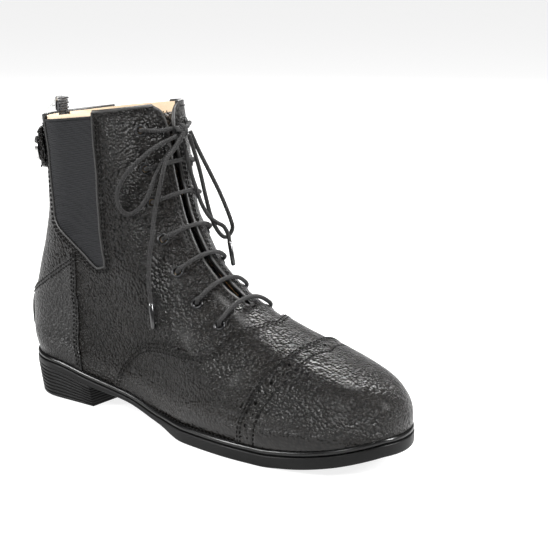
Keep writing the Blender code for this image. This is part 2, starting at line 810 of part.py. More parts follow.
def build_outsole(material):
    chamfer = EDGE_ROUND
    outer = feather_loop(edge_margin)
    tucked = feather_loop(lambda along: edge_margin(along) - chamfer)
    plate("outsole", [
        raised(tucked, sole_bottom),
        raised(outer, lambda along: sole_bottom(along) + chamfer),
        raised(outer, lambda along: sole_top(along) - chamfer),
        raised(tucked, sole_top),
    ], material)


def build_welt(material):
    """Rounded ring between the upper and the outsole, open in the middle for the insole."""
    rings = []
    for inset, up in WELT_SECTION:
        loop = feather_loop(lambda along, inset=inset: edge_margin(along) - inset)
        rings.append(raised(loop, lambda along, up=up: sole_top(along) + GAP + up * WELT_THICKNESS))
    for up in (1.0, 0.0):
        loop = feather_loop(lambda along: np.full(len(along), -WALL - GAP))
        rings.append(raised(loop, lambda along, up=up: sole_top(along) + GAP + up * WELT_THICKNESS))
    count = len(rings[0])
    faces = []
    for k in range(len(rings)):
        low, high = k * count, ((k + 1) % len(rings)) * count
        for n in range(count):
            m = (n + 1) % count
            faces.append([low + m, low + n, high + n, high + m])
    fix_facing(add_mesh("welt", np.concatenate(rings), faces, material))


def build_insole(material):
    loops = [feather_loop(lambda along, k=k: np.full(len(along), -WALL - 2 * GAP - k * INSOLE_PLAY)) for k in (1, 2)]
    bottom = raised(loops[0], lambda along: sole_top(along) + GAP)
    top = raised(loops[1], lambda along: sole_top(along) + 2 * GAP + WELT_THICKNESS + INSOLE_THICKNESS)
    plate("insole", [bottom, top], material)


def build_heel(material):
    """Heel block with grooves between its lifts, narrowing towards the floor."""
    loop = feather_loop(edge_margin, 4 * LOOP_STEPS)
    half = len(loop) // 2
    back = np.concatenate([loop[:half + 1], loop[half + 1:]])
    back = back[back[:, 0] < HEEL_BREAST]
    order = np.argsort(np.arctan2(back[:, 1], HEEL_BREAST - back[:, 0]))
    back = back[order]
    travel = np.concatenate([[0.0], np.cumsum(np.linalg.norm(np.diff(back, axis=0), axis=1))])
    even = np.linspace(0, travel[-1], 2 * HEEL_SPAN + 1)
    outline = np.stack([np.interp(even, travel, back[:, k]) for k in (0, 1)], axis=1)
    outline[0, 0] = outline[-1, 0] = HEEL_BREAST
    middle = np.array([HEEL_BREAST, 0.0])
    levels, depths = [0.0], [0.0]
    for rib in range(1, HEEL_RIBS + 1):
        share = rib / (HEEL_RIBS + 1)
        groove = 0.5 * RIB_WIDTH
        levels += [share - groove, share, share + groove]
        depths += [0.0, RIB_DEPTH, 0.0]
    levels.append(1.0)
    depths.append(0.0)
    rings = []
    for level, depth in zip(levels, depths):
        tangent = np.gradient(outline, axis=0)
        normal = np.stack([-tangent[:, 1], tangent[:, 0]], axis=1)
        normal /= np.linalg.norm(normal, axis=1, keepdims=True)
        if normal[HEEL_SPAN, 0] > 0:
            normal = -normal
        inset = HEEL_TAPER * (1 - level) + depth
        ring = outline - normal * inset
        ring[:, 0] = np.minimum(ring[:, 0], HEEL_BREAST)
        ring[0, 0] = ring[-1, 0] = HEEL_BREAST
        top = sole_bottom(ring[:, 0]) - GAP
        rings.append(np.concatenate([ring, (top * level)[:, None]], axis=1))
    count = len(rings[0])
    faces = []
    for k in range(len(rings) - 1):
        low, high = k * count, (k + 1) * count
        for n in range(count):
            m = (n + 1) % count
            faces.append([low + n, low + m, high + m, high + n])
    for base, turned_up in ((0, False), ((len(rings) - 1) * count, True)):
        for n in range(HEEL_SPAN):
            ring = [n, n + 1, count - n - 2, count - n - 1]
            face = [base + v for k, v in enumerate(ring) if v != ring[k - 1]]
            faces.append(face if turned_up else face[::-1])
    fix_facing(add_mesh("heel", np.concatenate(rings), faces, material, sharp_angle=30.0))


def level_station(height, around):
    """Station at which the skin of the heel or the shaft reaches this height along one turn."""
    stations = np.linspace(10.0, COLLAR, 1201)
    heights = skin(stations, around)[:, 2]
    lowest = int(np.argmin(heights))
    return float(np.interp(height, heights[lowest:], stations[lowest:]))


def back_patch(heights, turns):
    """Stations and turns of a patch across the back seam; turns go from -1 to 1 through it."""
    around = np.where(turns < 0, -1.0 - turns, 1.0 - turns)
    around = np.where(np.abs(turns) < 1e-9, 1.0, around)
    grid = [[level_station(high, turn) for high, turn in zip(*pair)] for pair in zip(heights, around)]
    return np.array(grid), around


def box_points(low, high):
    """Outer and inner grids of a box, for a shell."""
    outer = np.array([[[high[0], y, z] for y in (low[1], high[1])] for z in (low[2], high[2])])
    inner = outer.copy()
    inner[..., 0] = low[0]
    return outer, inner


def add_box(name, low, high, material=None):
    return add_shell(name, *box_points(low, high), material)


def throat_cutter():
    rows = [row.station for row in THROAT]
    stations = np.linspace(rows[0], rows[-1], THROAT_STEPS)
    half = table(THROAT, "station", "half", stations)
    centre = skin(stations, 0.0)
    normal = skin_normal(stations, 0.0)
    edges = np.stack([-half, half], axis=1)
    across = np.zeros((len(stations), 2, 3))
    across[..., 1] = edges
    grids = []
    for reach in (CUT_OUT, -THROAT_DEPTH):
        points = (centre + reach * normal)[:, None, :] + across
        top = points[-1:] + [0.0, 0.0, CUT_ABOVE]
        grids.append(np.concatenate([points, top], axis=0))
    return add_shell("throat_cut", *grids)


def gusset_cutter(name, side):
    station, around = gusset_grid(side)
    return add_cutter(name, station, around, first_row=CUT_ABOVE)


def zip_cutter():
    low = (-CUT_ABOVE, -ZIP_HALF, ZIP_BOTTOM)
    high = (SHAFT_ROUND * 0.8, ZIP_HALF, COLLAR_BACK + CUT_ABOVE)
    return add_box("zip_cut", low, high)


def eyelet_cutters():
    cutters = []
    for side, word in SIDES:
        for number, eyelet in enumerate(EYELETS, 1):
            centre, normal, _ = eyelet_frame(eyelet, side)
            reach = [(0.0, -CUT_IN), (EYELET_BARREL + GAP, -CUT_IN), (EYELET_BARREL + GAP, CUT_OUT), (0.0, CUT_OUT)]
            cutters.append(turned(f"hole_{word}_{number}", centre, normal, reach, EYELET_SEGMENTS))
    return joined("eyelet_holes", cutters)


def joined(name, objects):
    """One mesh of several separate cutters."""
    merged = bmesh.new()
    for obj in objects:
        merged.from_mesh(obj.data)
        bpy.data.objects.remove(obj)
    mesh = bpy.data.meshes.new(name)
    merged.to_mesh(mesh)
    merged.free()
    obj = bpy.data.objects.new(name, mesh)
    bpy.context.scene.collection.objects.link(obj)
    obj.hide_render = True
    obj.display_type = "WIRE"
    return obj


def build_upper(material):
    upper = add_shell("upper", *grid_layer(GRID, -WALL, 0.0), material)
    boolean(upper, throat_cutter())
    boolean(upper, zip_cutter())
    for side, word in SIDES:
        boolean(upper, gusset_cutter(f"gusset_cut_{word}", side))
    boolean(upper, eyelet_cutters())


def build_layer(name, region, start, end, low, high, material):
    """Overlay on the shared grid, trimmed to the region that its seam bounds."""
    rows = GRID[(GRID >= start) & (GRID <= end)]
    layer = add_shell(name, *grid_layer(rows, low, high), material)
    boolean(layer, region, "INTERSECT")


def build_overlays(materials):
    first_low, first_high = GAP, GAP + OVERLAY
    second_low, second_high = first_high + GAP, first_high + GAP + OVERLAY
    build_layer("vamp", toe_region("vamp_region", VAMP_SEAM), TOE, 9.7,
                first_low, first_high, materials["leather"])
    build_layer("toe_cap", toe_region("cap_region", CAP_SEAM), TOE, 6.8,
                second_low, second_high, materials["leather"])
    build_layer("counter", counter_region("counter_region"), 9.2, 11.2,
                first_low, first_high, materials["leather"])


def build_gussets(material):
    for side, word in SIDES:
        station, around = gusset_grid(side, GUSSET_CLEARANCE, GUSSET_DROP)
        outer = surface(station, around, np.full(station.shape, -GUSSET_RECESS))
        inner = surface(station, around, np.full(station.shape, -GUSSET_RECESS - ELASTIC))
        add_shell(f"gusset_{word}", outer, inner, material)


def build_tongue(material):
    stations = np.linspace(TONGUE[0].station, TONGUE[-1].station, TONGUE_STEPS)
    half = table(TONGUE, "station", "half_around", stations)
    depth = TONGUE_DEPTH * table(TONGUE, "station", "depth", stations)
    station = np.repeat(stations[:, None], 9, axis=1)
    around = half[:, None] * np.linspace(-1, 1, 9)[None, :]
    outer = surface(station, around, -np.repeat(depth[:, None], 9, axis=1))
    inner = surface(station, around, -np.repeat(depth[:, None], 9, axis=1) - TONGUE_THICKNESS)
    add_shell("tongue", outer, inner, material)


def build_eyelets(material):
    for side, word in SIDES:
        for number, eyelet in enumerate(EYELETS, 1):
            centre, normal, _ = eyelet_frame(eyelet, side)
            top, rest, foot = GAP + EYELET_RIM, GAP, -WALL - EYELET_RIM
            section = [
                (EYELET_HOLE, foot), (EYELET_BARREL, foot), (EYELET_BARREL, rest),
                (EYELET_FLANGE, rest), (EYELET_FLANGE - EYELET_RIM / 2, top), (EYELET_HOLE, top),
            ]
            turned(f"eyelet_{word}_{number}", centre, normal, section, EYELET_SEGMENTS, material)


def lace_route():
    """Centre line of the lace: one serpentine of outside bars and hidden runs, open at the knot."""
    near, far = -1, 1
    route = approach(7, far)
    route += dive(7, far, 6)
    route += under(7, 6, far)
    route += dive(6, far, 7)[::-1]
    side = far
    for row in range(6, 0, -1):
        route += bar(row, side)
        side = -side
        if row > 1:
            route += dive(row, side, row - 1)
            route += under(row, row - 1, side)
            route += dive(row - 1, side, row)[::-1]
        else:
            route += dive(row, side, row + 1)
    route += long_run(side)
    route += dive(7, near, 6)[::-1]
    route += approach(7, near)[::-1]
    return np.array(route)


def local(row, side, inward, height, toward_row=None, along=0.0):
    """Point near an eyelet: towards the gap, above the skin, and along the row of eyelets."""
    eyelet = EYELETS[row - 1]
    centre, normal, toward_gap = eyelet_frame(eyelet, side)
    point = centre + toward_gap * inward + normal * height
    if toward_row:
        other = skin(EYELETS[toward_row - 1].station, side * EYELETS[toward_row - 1].around)
        direction = other - centre
        direction -= normal * np.dot(direction, normal)
        point = point + along * direction / np.linalg.norm(direction)
    return point


def dive(row, side, toward_row):
    """From just above an eyelet, down through it and off towards a neighbour, under the facing."""
    return [
        local(row, side, 0.0007, 0.0018),
        local(row, side, 0.0, 0.0007),
        local(row, side, 0.0, -0.0010),
        local(row, side, 0.0, -0.0026),
        local(row, side, 0.0, -0.0036, toward_row, 0.0008),
        local(row, side, 0.0, -LACE_INSIDE, toward_row, 0.0022),
    ]


def under(row, next_row, side):
    """Hidden run between two eyelets of one side."""
    first, last = EYELETS[row - 1], EYELETS[next_row - 1]
    shares = np.linspace(0.22, 0.78, 4)
    station = first.station + (last.station - first.station) * shares
    around = side * (first.around + (last.around - first.around) * shares)
    return list(surface(station, around, -LACE_INSIDE))


def bar(row, side):
    """Outside bar from one side's eyelet to the other's."""
    eyelet = EYELETS[row - 1]
    turns = side * eyelet.around * np.linspace(0.80, -0.80, 9)
    over = list(surface(eyelet.station, turns, LACE_OVER))
    start = [local(row, side, 0.0020, LACE_OVER + 0.0001)]
    end = [local(row, -side, 0.0020, LACE_OVER + 0.0001)]
    return start + over + end


def approach(row, side):
    """From beside the knot over the facing to an eyelet."""
    eyelet = EYELETS[row - 1]
    shares = np.array([0.50, 0.70, 0.82])
    station = KNOT_STATION + (eyelet.station - KNOT_STATION) * shares
    height = np.array([0.0038, 0.0027, LACE_OVER])
    over = list(surface(station, side * eyelet.around * shares, height))
    return [knot_exit(side, LACE_EXIT, over[0])] + over + [local(row, side, 0.0020, LACE_OVER + 0.0001)]


def long_run(side):
    """Hidden run from the bottom eyelet up beside the gap, then across it to the other top eyelet."""
    station, share = [], []
    for row in RETURN_RUN:
        station.append(row.station)
        share.append(row.around)
    fine = np.linspace(0, len(station) - 1, 30)
    stations = smooth_read(np.arange(len(station), dtype=float), np.array(station), fine)
    turns = smooth_read(np.arange(len(share), dtype=float), np.array(share), fine)
    return list(surface(stations, side * turns, -LACE_INSIDE))


def add_tube(name, route, diameter, material):
    """Poly curve with a round bevel and filled ends."""
    curve = bpy.data.curves.new(name, "CURVE")
    curve.dimensions = "3D"
    curve.bevel_depth = diameter / 2
    curve.bevel_resolution = 1
    curve.use_fill_caps = True
    spline = curve.splines.new("POLY")
    spline.points.add(len(route) - 1)
    for point, place in zip(spline.points, route):
        point.co = (*put(place), 1.0)
    obj = bpy.data.objects.new(name, curve)
    bpy.context.scene.collection.objects.link(obj)
    curve.materials.append(material)
    return obj


def build_spur_rest(material):
    rise = np.linspace(-1, 1, SPUR_ROWS)
    run = np.linspace(-1, 1, SPUR_COLUMNS)
    reach = SPUR_REACH * np.sqrt(1.05 - rise**2)
    turns = -reach[:, None] * run[None, :]
    heights = np.broadcast_to((SPUR_LOW + SPUR_HIGH + (SPUR_HIGH - SPUR_LOW) * rise[:, None]) / 2, turns.shape)
    station, around = back_patch(heights, turns)
    lens = (1 - rise[:, None] ** 2) * (1 - run[None, :] ** 2)
    rest = OVERLAY + 2 * GAP
    outer = surface(station, around, rest + SPUR_EDGE + SPUR_THICKNESS * lens)
    inner = surface(station, around, np.full(turns.shape, rest))
    add_shell("spur_rest", outer, inner, material)


def build_strap(material):
    rise = np.linspace(-1, 1, STRAP_ROWS)
    run = np.linspace(0, 1, STRAP_COLUMNS)
    half = (STRAP_HIGH - STRAP_LOW) / 2
    corner = np.sqrt(1 - 0.75 * np.abs(rise) ** 4)
    lateral = (1 - STRAP_LATERAL) * corner
    medial = (1 - STRAP_MEDIAL) * np.ones(STRAP_ROWS)
    turns = -lateral[:, None] + (lateral + medial)[:, None] * run[None, :]
    heights = np.broadcast_to(STRAP_LOW + half + half * rise[:, None], turns.shape)
    station, around = back_patch(heights, turns)
    outer = surface(station, around, np.full(turns.shape, STRAP_REST + STRAP_THICKNESS))
    inner = surface(station, around, np.full(turns.shape, STRAP_REST))
    add_shell("snap_strap", outer, inner, material)


def build_button(material):
    around = -BUTTON_TURN
    station = level_station(BUTTON_HEIGHT, around)
    centre = surface(station, around, STRAP_REST + STRAP_THICKNESS + BUTTON_SEAT)
    axis = skin_normal(station, around)
    radius, high = BUTTON_RADIUS, BUTTON_THICKNESS
    section = [
        (0.0, 0.0), (radius - BUTTON_RIM, 0.0), (radius, BUTTON_RIM), (radius, high - BUTTON_RIM),
        (radius - BUTTON_RIM, high), (radius - 2 * BUTTON_RIM, high), (radius - 3 * BUTTON_RIM, high - BUTTON_RIM / 2),
        (0.0, high - BUTTON_RIM / 2),
    ]
    turned("snap_button", centre, axis, section, BUTTON_SEGMENTS, material)


def zip_face(height, across=0.0):
    """Place of the tape's face at the back seam, with the roundness of the shaft."""
    return back_line(height) + across**2 / (2 * ZIP_ROUND) + ZIP_RECESS


def build_zip_tape(material):
    heights = np.linspace(ZIP_BOTTOM + GAP, ZIP_TOP, ZIP_ROWS)
    across = np.linspace(-1, 1, 5) * (ZIP_HALF - GAP)
    height, across = np.meshgrid(heights, across, indexing="ij")
    outer = np.stack([zip_face(height, across), across, height], axis=-1)
    narrow = np.where(height > COLLAR_BACK + SLIDER_PLAY, (SLIDER_HALF - GAP) / (ZIP_HALF - GAP), 1.0)
    outer[..., 1] *= narrow
    inner = outer + [ZIP_DEPTH, 0.0, 0.0]
    add_shell("zip_tape", outer, inner, material)


def extrude_profile(name, profile, half, material):
    """Closed solid of an (along, height) outline drawn out both ways across the boot."""
    points = [(x, side * half, z) for side in (-1, 1) for x, z in profile]
    count = len(profile)
    faces = [[n, (n + 1) % count, count + (n + 1) % count, count + n] for n in range(count)]
    faces += [list(range(count))[::-1], list(range(count, 2 * count))]
    return fix_facing(add_mesh(name, points, faces, material))


def slider_face():
    return float(back_line(SLIDER_LOW)) - SLIDER_PLAY


def hinge_place():
    """Centre of the pull's hinge as (along, height)."""
    return slider_face() - SLIDER_PLATE - (BAIL_REACH - BAIL_WIRE) / 2, (BAIL_LOW + BAIL_HIGH) / 2


def build_slider(material):
    """Two plates round the tape, joined over its end, with a bail for the pull."""
    face = slider_face()
    rear = face + ZIP_RECESS + ZIP_DEPTH + 3 * SLIDER_PLAY
    front = face - SLIDER_PLATE
    body = [
        (front, SLIDER_LOW), (face, SLIDER_LOW), (face, SLIDER_BRIDGE), (rear, SLIDER_BRIDGE),
        (rear, SLIDER_LOW), (rear + SLIDER_PLATE, SLIDER_LOW), (rear + SLIDER_PLATE, SLIDER_HIGH), (front, SLIDER_HIGH),
    ]
    slider = extrude_profile("zip_slider", body, SLIDER_HALF, material)
    root, tip = front + BAIL_WIRE / 2, front - BAIL_REACH
    bail = [
        (root, BAIL_LOW), (tip, BAIL_LOW), (tip, BAIL_HIGH), (root, BAIL_HIGH),
        (root, BAIL_HIGH - BAIL_WIRE), (tip + BAIL_WIRE, BAIL_HIGH - BAIL_WIRE),
        (tip + BAIL_WIRE, BAIL_LOW + BAIL_WIRE), (root, BAIL_LOW + BAIL_WIRE),
    ]
    boolean(slider, as_cutter(extrude_profile("bail", bail, BAIL_HALF, material)), "UNION")


def as_cutter(obj):
    obj.hide_render = True
    obj.display_type = "WIRE"
    return obj


def build_pull(material):
    """Flat pull with a wire bar at its root that turns in the slider's bail."""
    along, height = hinge_place()
    half, wire = PULL_WIRE / 2, BAIL_HALF + 2 * GAP
    lengths = [-half, PULL_NECK / 2, PULL_NECK + 2 * half, PULL_LENGTH - 2 * half, PULL_LENGTH]
    widths = [PULL_HALF * share for share in (0.92, 0.84, 1.00, 0.92, 0.62)]
    outline = [(length, width) for length, width in zip(lengths, widths)]
    ring = [(length, -width) for length, width in outline] + [(length, width) for length, width in outline[::-1]]
    hole = [(half, -wire), (PULL_NECK, -wire), (PULL_NECK, wire), (half, wire)]
    turn = radians(PULL_ANGLE)
    solids = []
    for points, depth in ((ring, half), (hole, 2 * PULL_WIRE)):
        count = len(points)
        corners = []
        for face in (-depth, depth):
            for length, across in points:
                x = along - length * cos(turn) + face * sin(turn)
                z = height - length * sin(turn) - face * cos(turn)
                corners.append((x, across, z))
        faces = [[n, (n + 1) % count, count + (n + 1) % count, count + n] for n in range(count)]
        faces += [list(range(count))[::-1], list(range(count, 2 * count))]
        solids.append(fix_facing(add_mesh("zip_pull" if points is ring else "pull_eye", corners, faces, material)))
    boolean(solids[0], as_cutter(solids[1]))


def knot_frame():
    """Centre of the knot with its outward, across and upward directions."""
    normal = skin_normal(KNOT_STATION, 0.0)
    across = np.array([0.0, 1.0, 0.0])
    return surface(KNOT_STATION, 0.0, KNOT_HEIGHT), normal, across, np.cross(normal, across)


def knot_exit(side, direction, toward):
    """Start of a cord that leaves the knot for a place; side is -1 lateral, 1 medial."""
    centre, outward, across, upward = knot_frame()
    share = np.array(direction) / np.linalg.norm(direction / np.array(KNOT_RADII))
    reach = share[0] * outward + side * share[1] * across + share[2] * upward
    away = reach / np.linalg.norm(reach)
    heading = toward - centre - reach
    heading /= np.linalg.norm(heading)
    tilt = np.sqrt(max(0.0, 1 - np.dot(heading, away) ** 2))
    return centre + reach + away * (KNOT_GAP + LACE / 2 * tilt)


def build_knot(material):
    centre, outward, across, upward = knot_frame()
    ball = bmesh.new()
    bmesh.ops.create_uvsphere(ball, u_segments=KNOT_TURNS, v_segments=KNOT_TURNS // 2, radius=1.0)
    for vertex in ball.verts:
        shares = [vertex.co[k] * KNOT_RADII[k] for k in range(3)]
        vertex.co = put(centre + shares[0] * outward + shares[1] * across + shares[2] * upward)
    mesh = bpy.data.meshes.new("lace_knot")
    ball.to_mesh(mesh)
    ball.free()
    mesh.shade_smooth()
    mesh.materials.append(material)
    obj = bpy.data.objects.new("lace_knot", mesh)
    bpy.context.scene.collection.objects.link(obj)
    fix_facing(obj)


def curve_through(points, steps):
    """Smooth curve through the points, with a number of steps between two of them."""
    points = np.asarray(points, float)
    padded = np.concatenate([[2 * points[0] - points[1]], points, [2 * points[-1] - points[-2]]])
    places = []
    for k in range(len(points) - 1):
        before, start, end, after = padded[k:k + 4]
        for t in np.arange(steps) / steps:
            places.append(0.5 * (2 * start + (end - before) * t
                                 + (2 * before - 5 * start + 4 * end - after) * t**2
                                 + (3 * start - before - 3 * end + after) * t**3))
    return np.array(places + [points[-1]])


def over_skin(rows):
    """Points of a cord table in space."""
    stations = np.array([row.station for row in rows])
    turns = np.array([row.around for row in rows])
    heights = LACE * np.array([row.height for row in rows])
    return list(surface(stations, turns, heights))


def bow_route(side, way_out, rows, way_back=None):
    """Cord from the knot over its table of places, and back into the knot if it is a loop."""
    points = over_skin(rows)
    points = [knot_exit(side, way_out, points[0])] + points
    if way_back:
        points.append(knot_exit(side, way_back, points[-1]))
    return curve_through(points, CORD_STEPS)


def aglet_ends(route):
    """Start and end of the stiff tip that follows a cord's last stretch."""
    direction = route[-1] - route[-2]
    direction /= np.linalg.norm(direction)
    return [route[-1] + direction * GAP, route[-1] + direction * (GAP + AGLET_LENGTH)]


def build_bow(materials):
    build_knot(materials["cord"])
    near_loop = bow_route(-1, LOOP_NEAR_OUT, LOOP_NEAR, LOOP_NEAR_BACK)
    far_loop = bow_route(1, LOOP_FAR_OUT, LOOP_FAR, LOOP_FAR_BACK)
    add_tube("lace_loop_near", near_loop, LACE, materials["cord"])
    add_tube("lace_loop_far", far_loop, LACE, materials["cord"])
    near_tail = bow_route(-1, TAIL_NEAR_EXIT, TAIL_NEAR)
    far_tail = bow_route(1, TAIL_FAR_EXIT, TAIL_FAR)
    for word, route in (("near", near_tail), ("far", far_tail)):
        add_tube(f"lace_tail_{word}", route, LACE, materials["cord"])
        add_tube(f"aglet_{word}", aglet_ends(route), AGLET, materials["aglet"])


def clear_scene():
    for obj in list(bpy.data.objects):
        bpy.data.objects.remove(obj, do_unlink=True)


def main():
    clear_scene()
    materials = {
        "leather": make_material("leather", (0.020, 0.019, 0.018), 0.42),
        "elastic": make_material("elastic", (0.030, 0.030, 0.032), 0.85),
        "rubber": make_material("rubber", (0.016, 0.016, 0.016), 0.50),
        "lining": make_material("lining", (0.70, 0.58, 0.43), 0.75),
        "eyelet": make_material("eyelet", (0.10, 0.10, 0.10), 0.35, 1.0),
        "cord": make_material("cord", (0.022, 0.022, 0.022), 0.70),
        "aglet": make_material("aglet", (0.015, 0.015, 0.016), 0.20),
        "zip": make_material("zip", (0.020, 0.020, 0.022), 0.60),
        "silver": make_material("silver", (0.72, 0.72, 0.70), 0.25, 1.0),
    }
    build_outsole(materials["rubber"])
    build_heel(materials["rubber"])
    build_welt(materials["rubber"])
    build_insole(materials["lining"])
    build_upper(materials["leather"])
    build_overlays(materials)
    build_gussets(materials["elastic"])
    build_tongue(materials["leather"])
    build_eyelets(materials["eyelet"])
    add_tube("lace", lace_route(), LACE, materials["cord"])
    build_bow(materials)
    build_spur_rest(materials["leather"])
    build_zip_tape(materials["zip"])
    build_slider(materials["silver"])
    build_pull(materials["silver"])
    build_strap(materials["leather"])
    build_button(materials["silver"])


main()
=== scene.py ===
"""Detailed look of the paddock boot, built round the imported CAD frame.

Metres, in the CAD's own frame. "along" runs from the back of the heel towards the toe; put() moves it
into the frame. A place on the upper is a station (0 toe, 12 collar) and a turn around it (-1 lateral
sole edge or back seam, 0 front line, 1 medial).
"""
from collections import namedtuple
from math import cos, pi, radians, sin

import bmesh
import bpy
import numpy as np
from mathutils import Matrix, Vector


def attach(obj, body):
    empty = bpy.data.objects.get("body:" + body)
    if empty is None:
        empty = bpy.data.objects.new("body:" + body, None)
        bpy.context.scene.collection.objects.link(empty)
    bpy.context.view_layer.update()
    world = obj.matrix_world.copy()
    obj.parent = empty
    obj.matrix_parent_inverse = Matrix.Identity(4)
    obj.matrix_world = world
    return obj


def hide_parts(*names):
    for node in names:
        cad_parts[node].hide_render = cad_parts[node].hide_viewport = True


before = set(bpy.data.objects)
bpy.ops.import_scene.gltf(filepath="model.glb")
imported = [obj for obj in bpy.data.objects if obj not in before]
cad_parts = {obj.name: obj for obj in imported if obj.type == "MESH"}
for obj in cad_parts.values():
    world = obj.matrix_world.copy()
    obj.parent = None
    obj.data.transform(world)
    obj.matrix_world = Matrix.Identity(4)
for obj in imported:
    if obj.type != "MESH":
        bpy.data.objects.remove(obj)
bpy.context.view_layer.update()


# Driving dimensions of the last
LAST_LENGTH = 0.273
BALL_WIDTH = 0.092
INSTEP_HEIGHT = 0.0735
HEEL_RISE = 0.0185
TOE_SPRING = 0.0114
COLLAR_FRONT = 0.192
COLLAR_BACK = 0.180
SHAFT_LENGTH = 0.105
SHAFT_WIDTH = 0.072
ANKLE_WIDTH = 0.066
HEEL_ROUND = 0.031
SHAFT_ROUND = 0.036
SIDE_BULGE = 0.0022
BULGE_HEIGHT = 0.009
SHAFT_BLEND_LOW = 0.045
SHAFT_BLEND_HIGH = 0.110

# Thicknesses and clearances
GAP = 0.0003
WALL = 0.0020
OVERLAY = 0.0011
ELASTIC = 0.0014
TONGUE_THICKNESS = 0.0022
WELT_THICKNESS = 0.0032
OUTSOLE_THICKNESS = 0.0072
WELT_MARGIN = 0.0038
HEEL_MARGIN = 0.0022

FLAT_FEATHER = OUTSOLE_THICKNESS + GAP + WELT_THICKNESS + GAP

# Widths at the feather line in shares of BALL_WIDTH, lifts in shares of HEEL_RISE and TOE_SPRING
Outline = namedtuple("Outline", "along lateral medial heel_lift toe_lift")
OUTLINE = [
    Outline(0.00, 0.332, 0.325, 1.00, 0.0), Outline(0.12, 0.327, 0.332, 0.87, 0.0),
    Outline(0.22, 0.322, 0.325, 0.61, 0.0), Outline(0.35, 0.330, 0.300, 0.37, 0.0),
    Outline(0.47, 0.378, 0.325, 0.07, 0.0), Outline(0.56, 0.435, 0.400, 0.00, 0.0),
    Outline(0.68, 0.460, 0.490, 0.00, 0.0), Outline(0.76, 0.450, 0.515, 0.00, 0.0),
    Outline(0.82, 0.444, 0.505, 0.00, 0.13), Outline(0.92, 0.448, 0.465, 0.00, 0.53),
    Outline(1.00, 0.440, 0.435, 0.00, 1.0),
]
Sole = namedtuple("Sole", "along thickness")
SOLE = [
    Sole(0.00, 0.60), Sole(0.23, 0.58), Sole(0.34, 0.42), Sole(0.45, 0.50), Sole(0.54, 1.00),
    Sole(1.00, 1.00),
]
TOE_ROUND_FROM = 0.72
TOE_FULLNESS = 2.66
HEEL_FULLNESS = 2.1

# Front line: along = LAST_LENGTH * foot + SHAFT_LENGTH * shaft. rise goes 0 to 1 up to the instep and
# 1 to 2 up to the collar. base is the foot of the station in shares of LAST_LENGTH, up its height on
# the back line. depth is how far back the front rounding reaches, fullness how square it is.
Front = namedtuple("Front", "foot shaft rise base up depth fullness")
FRONT = [
    Front(1.000, 0.00, 0.360, 1.000, 0.0, 1.00, 2.6), Front(0.993, 0.00, 0.478, 0.993, 0.0, 1.00, 2.6),
    Front(0.970, 0.00, 0.584, 0.970, 0.0, 1.00, 2.5), Front(0.930, 0.00, 0.663, 0.930, 0.0, 1.00, 2.4),
    Front(0.870, 0.00, 0.732, 0.870, 0.0, 1.00, 2.3), Front(0.800, 0.00, 0.807, 0.800, 0.0, 0.97, 2.2),
    Front(0.720, 0.00, 0.905, 0.720, 0.0, 0.90, 2.1), Front(0.650, 0.00, 1.000, 0.640, 0.0, 0.76, 2.0),
    Front(0.550, 0.056, 1.093, 0.520, 0.0, 0.60, 2.0), Front(0.440, 0.170, 1.211, 0.350, 0.0, 0.46, 2.0),
    Front(0.290, 0.430, 1.376, 0.120, 0.0, 0.34, 2.0), Front(0.110, 0.795, 1.637, 0.000, 0.4, 0.34, 2.0),
    Front(0.000, 1.000, 2.000, 0.000, 1.0, 0.36, 2.0),
]
TOE = 0
COLLAR = len(FRONT) - 1

# Back line from the feather to the collar, in shares of its height and of LAST_LENGTH
Back = namedtuple("Back", "up along")
BACK = [
    Back(0.00, 0.000), Back(0.10, -0.012), Back(0.20, -0.012), Back(0.35, 0.010), Back(0.50, 0.038),
    Back(0.65, 0.056), Back(0.82, 0.058), Back(1.00, 0.048),
]


def table(rows, key, name, at):
    """Reads a column of a table at any place by smooth interpolation that never overshoots a row."""
    places = np.array([getattr(row, key) for row in rows], float)
    values = np.array([getattr(row, name) for row in rows], float)
    return smooth_read(places, values, at)


def by_row(rows, name, at):
    """Reads a column of a table by row number."""
    values = np.array([getattr(row, name) for row in rows], float)
    return smooth_read(np.arange(len(rows), dtype=float), values, at)


def smooth_read(places, values, at):
    """Monotone cubic interpolation (Fritsch and Carlson)."""
    at = np.asarray(at, float)
    steps = np.diff(places)
    slopes = np.diff(values) / steps
    tangents = np.zeros(len(places))
    before, after = slopes[:-1], slopes[1:]
    same = before * after > 0
    near, far = 2 * steps[1:] + steps[:-1], steps[1:] + 2 * steps[:-1]
    safe_before = np.where(same, before, 1.0)
    safe_after = np.where(same, after, 1.0)
    tangents[1:-1] = np.where(same, (near + far) / (near / safe_before + far / safe_after), 0.0)
    tangents[0], tangents[-1] = slopes[0], slopes[-1]
    k = np.clip(np.searchsorted(places, at, side="right") - 1, 0, len(places) - 2)
    t = np.clip((at - places[k]) / steps[k], 0, 1)
    start = (2 * t**3 - 3 * t**2 + 1) * values[k] + (t**3 - 2 * t**2 + t) * steps[k] * tangents[k]
    end = (3 * t**2 - 2 * t**3) * values[k + 1] + (t**3 - t**2) * steps[k] * tangents[k + 1]
    return start + end


def smoothstep(low, high, value):
    t = np.clip((value - low) / (high - low), 0, 1)
    return t * t * (3 - 2 * t)


def feather_height(along):
    """Height of the line where the upper meets the welt."""
    share = np.clip(along / LAST_LENGTH, 0, 1)
    heel = HEEL_RISE * table(OUTLINE, "along", "heel_lift", share)
    toe = TOE_SPRING * table(OUTLINE, "along", "toe_lift", share)
    return FLAT_FEATHER + heel + toe


BACK_FEATHER = float(feather_height(0.0))
BACK_HEIGHT = COLLAR_BACK - BACK_FEATHER


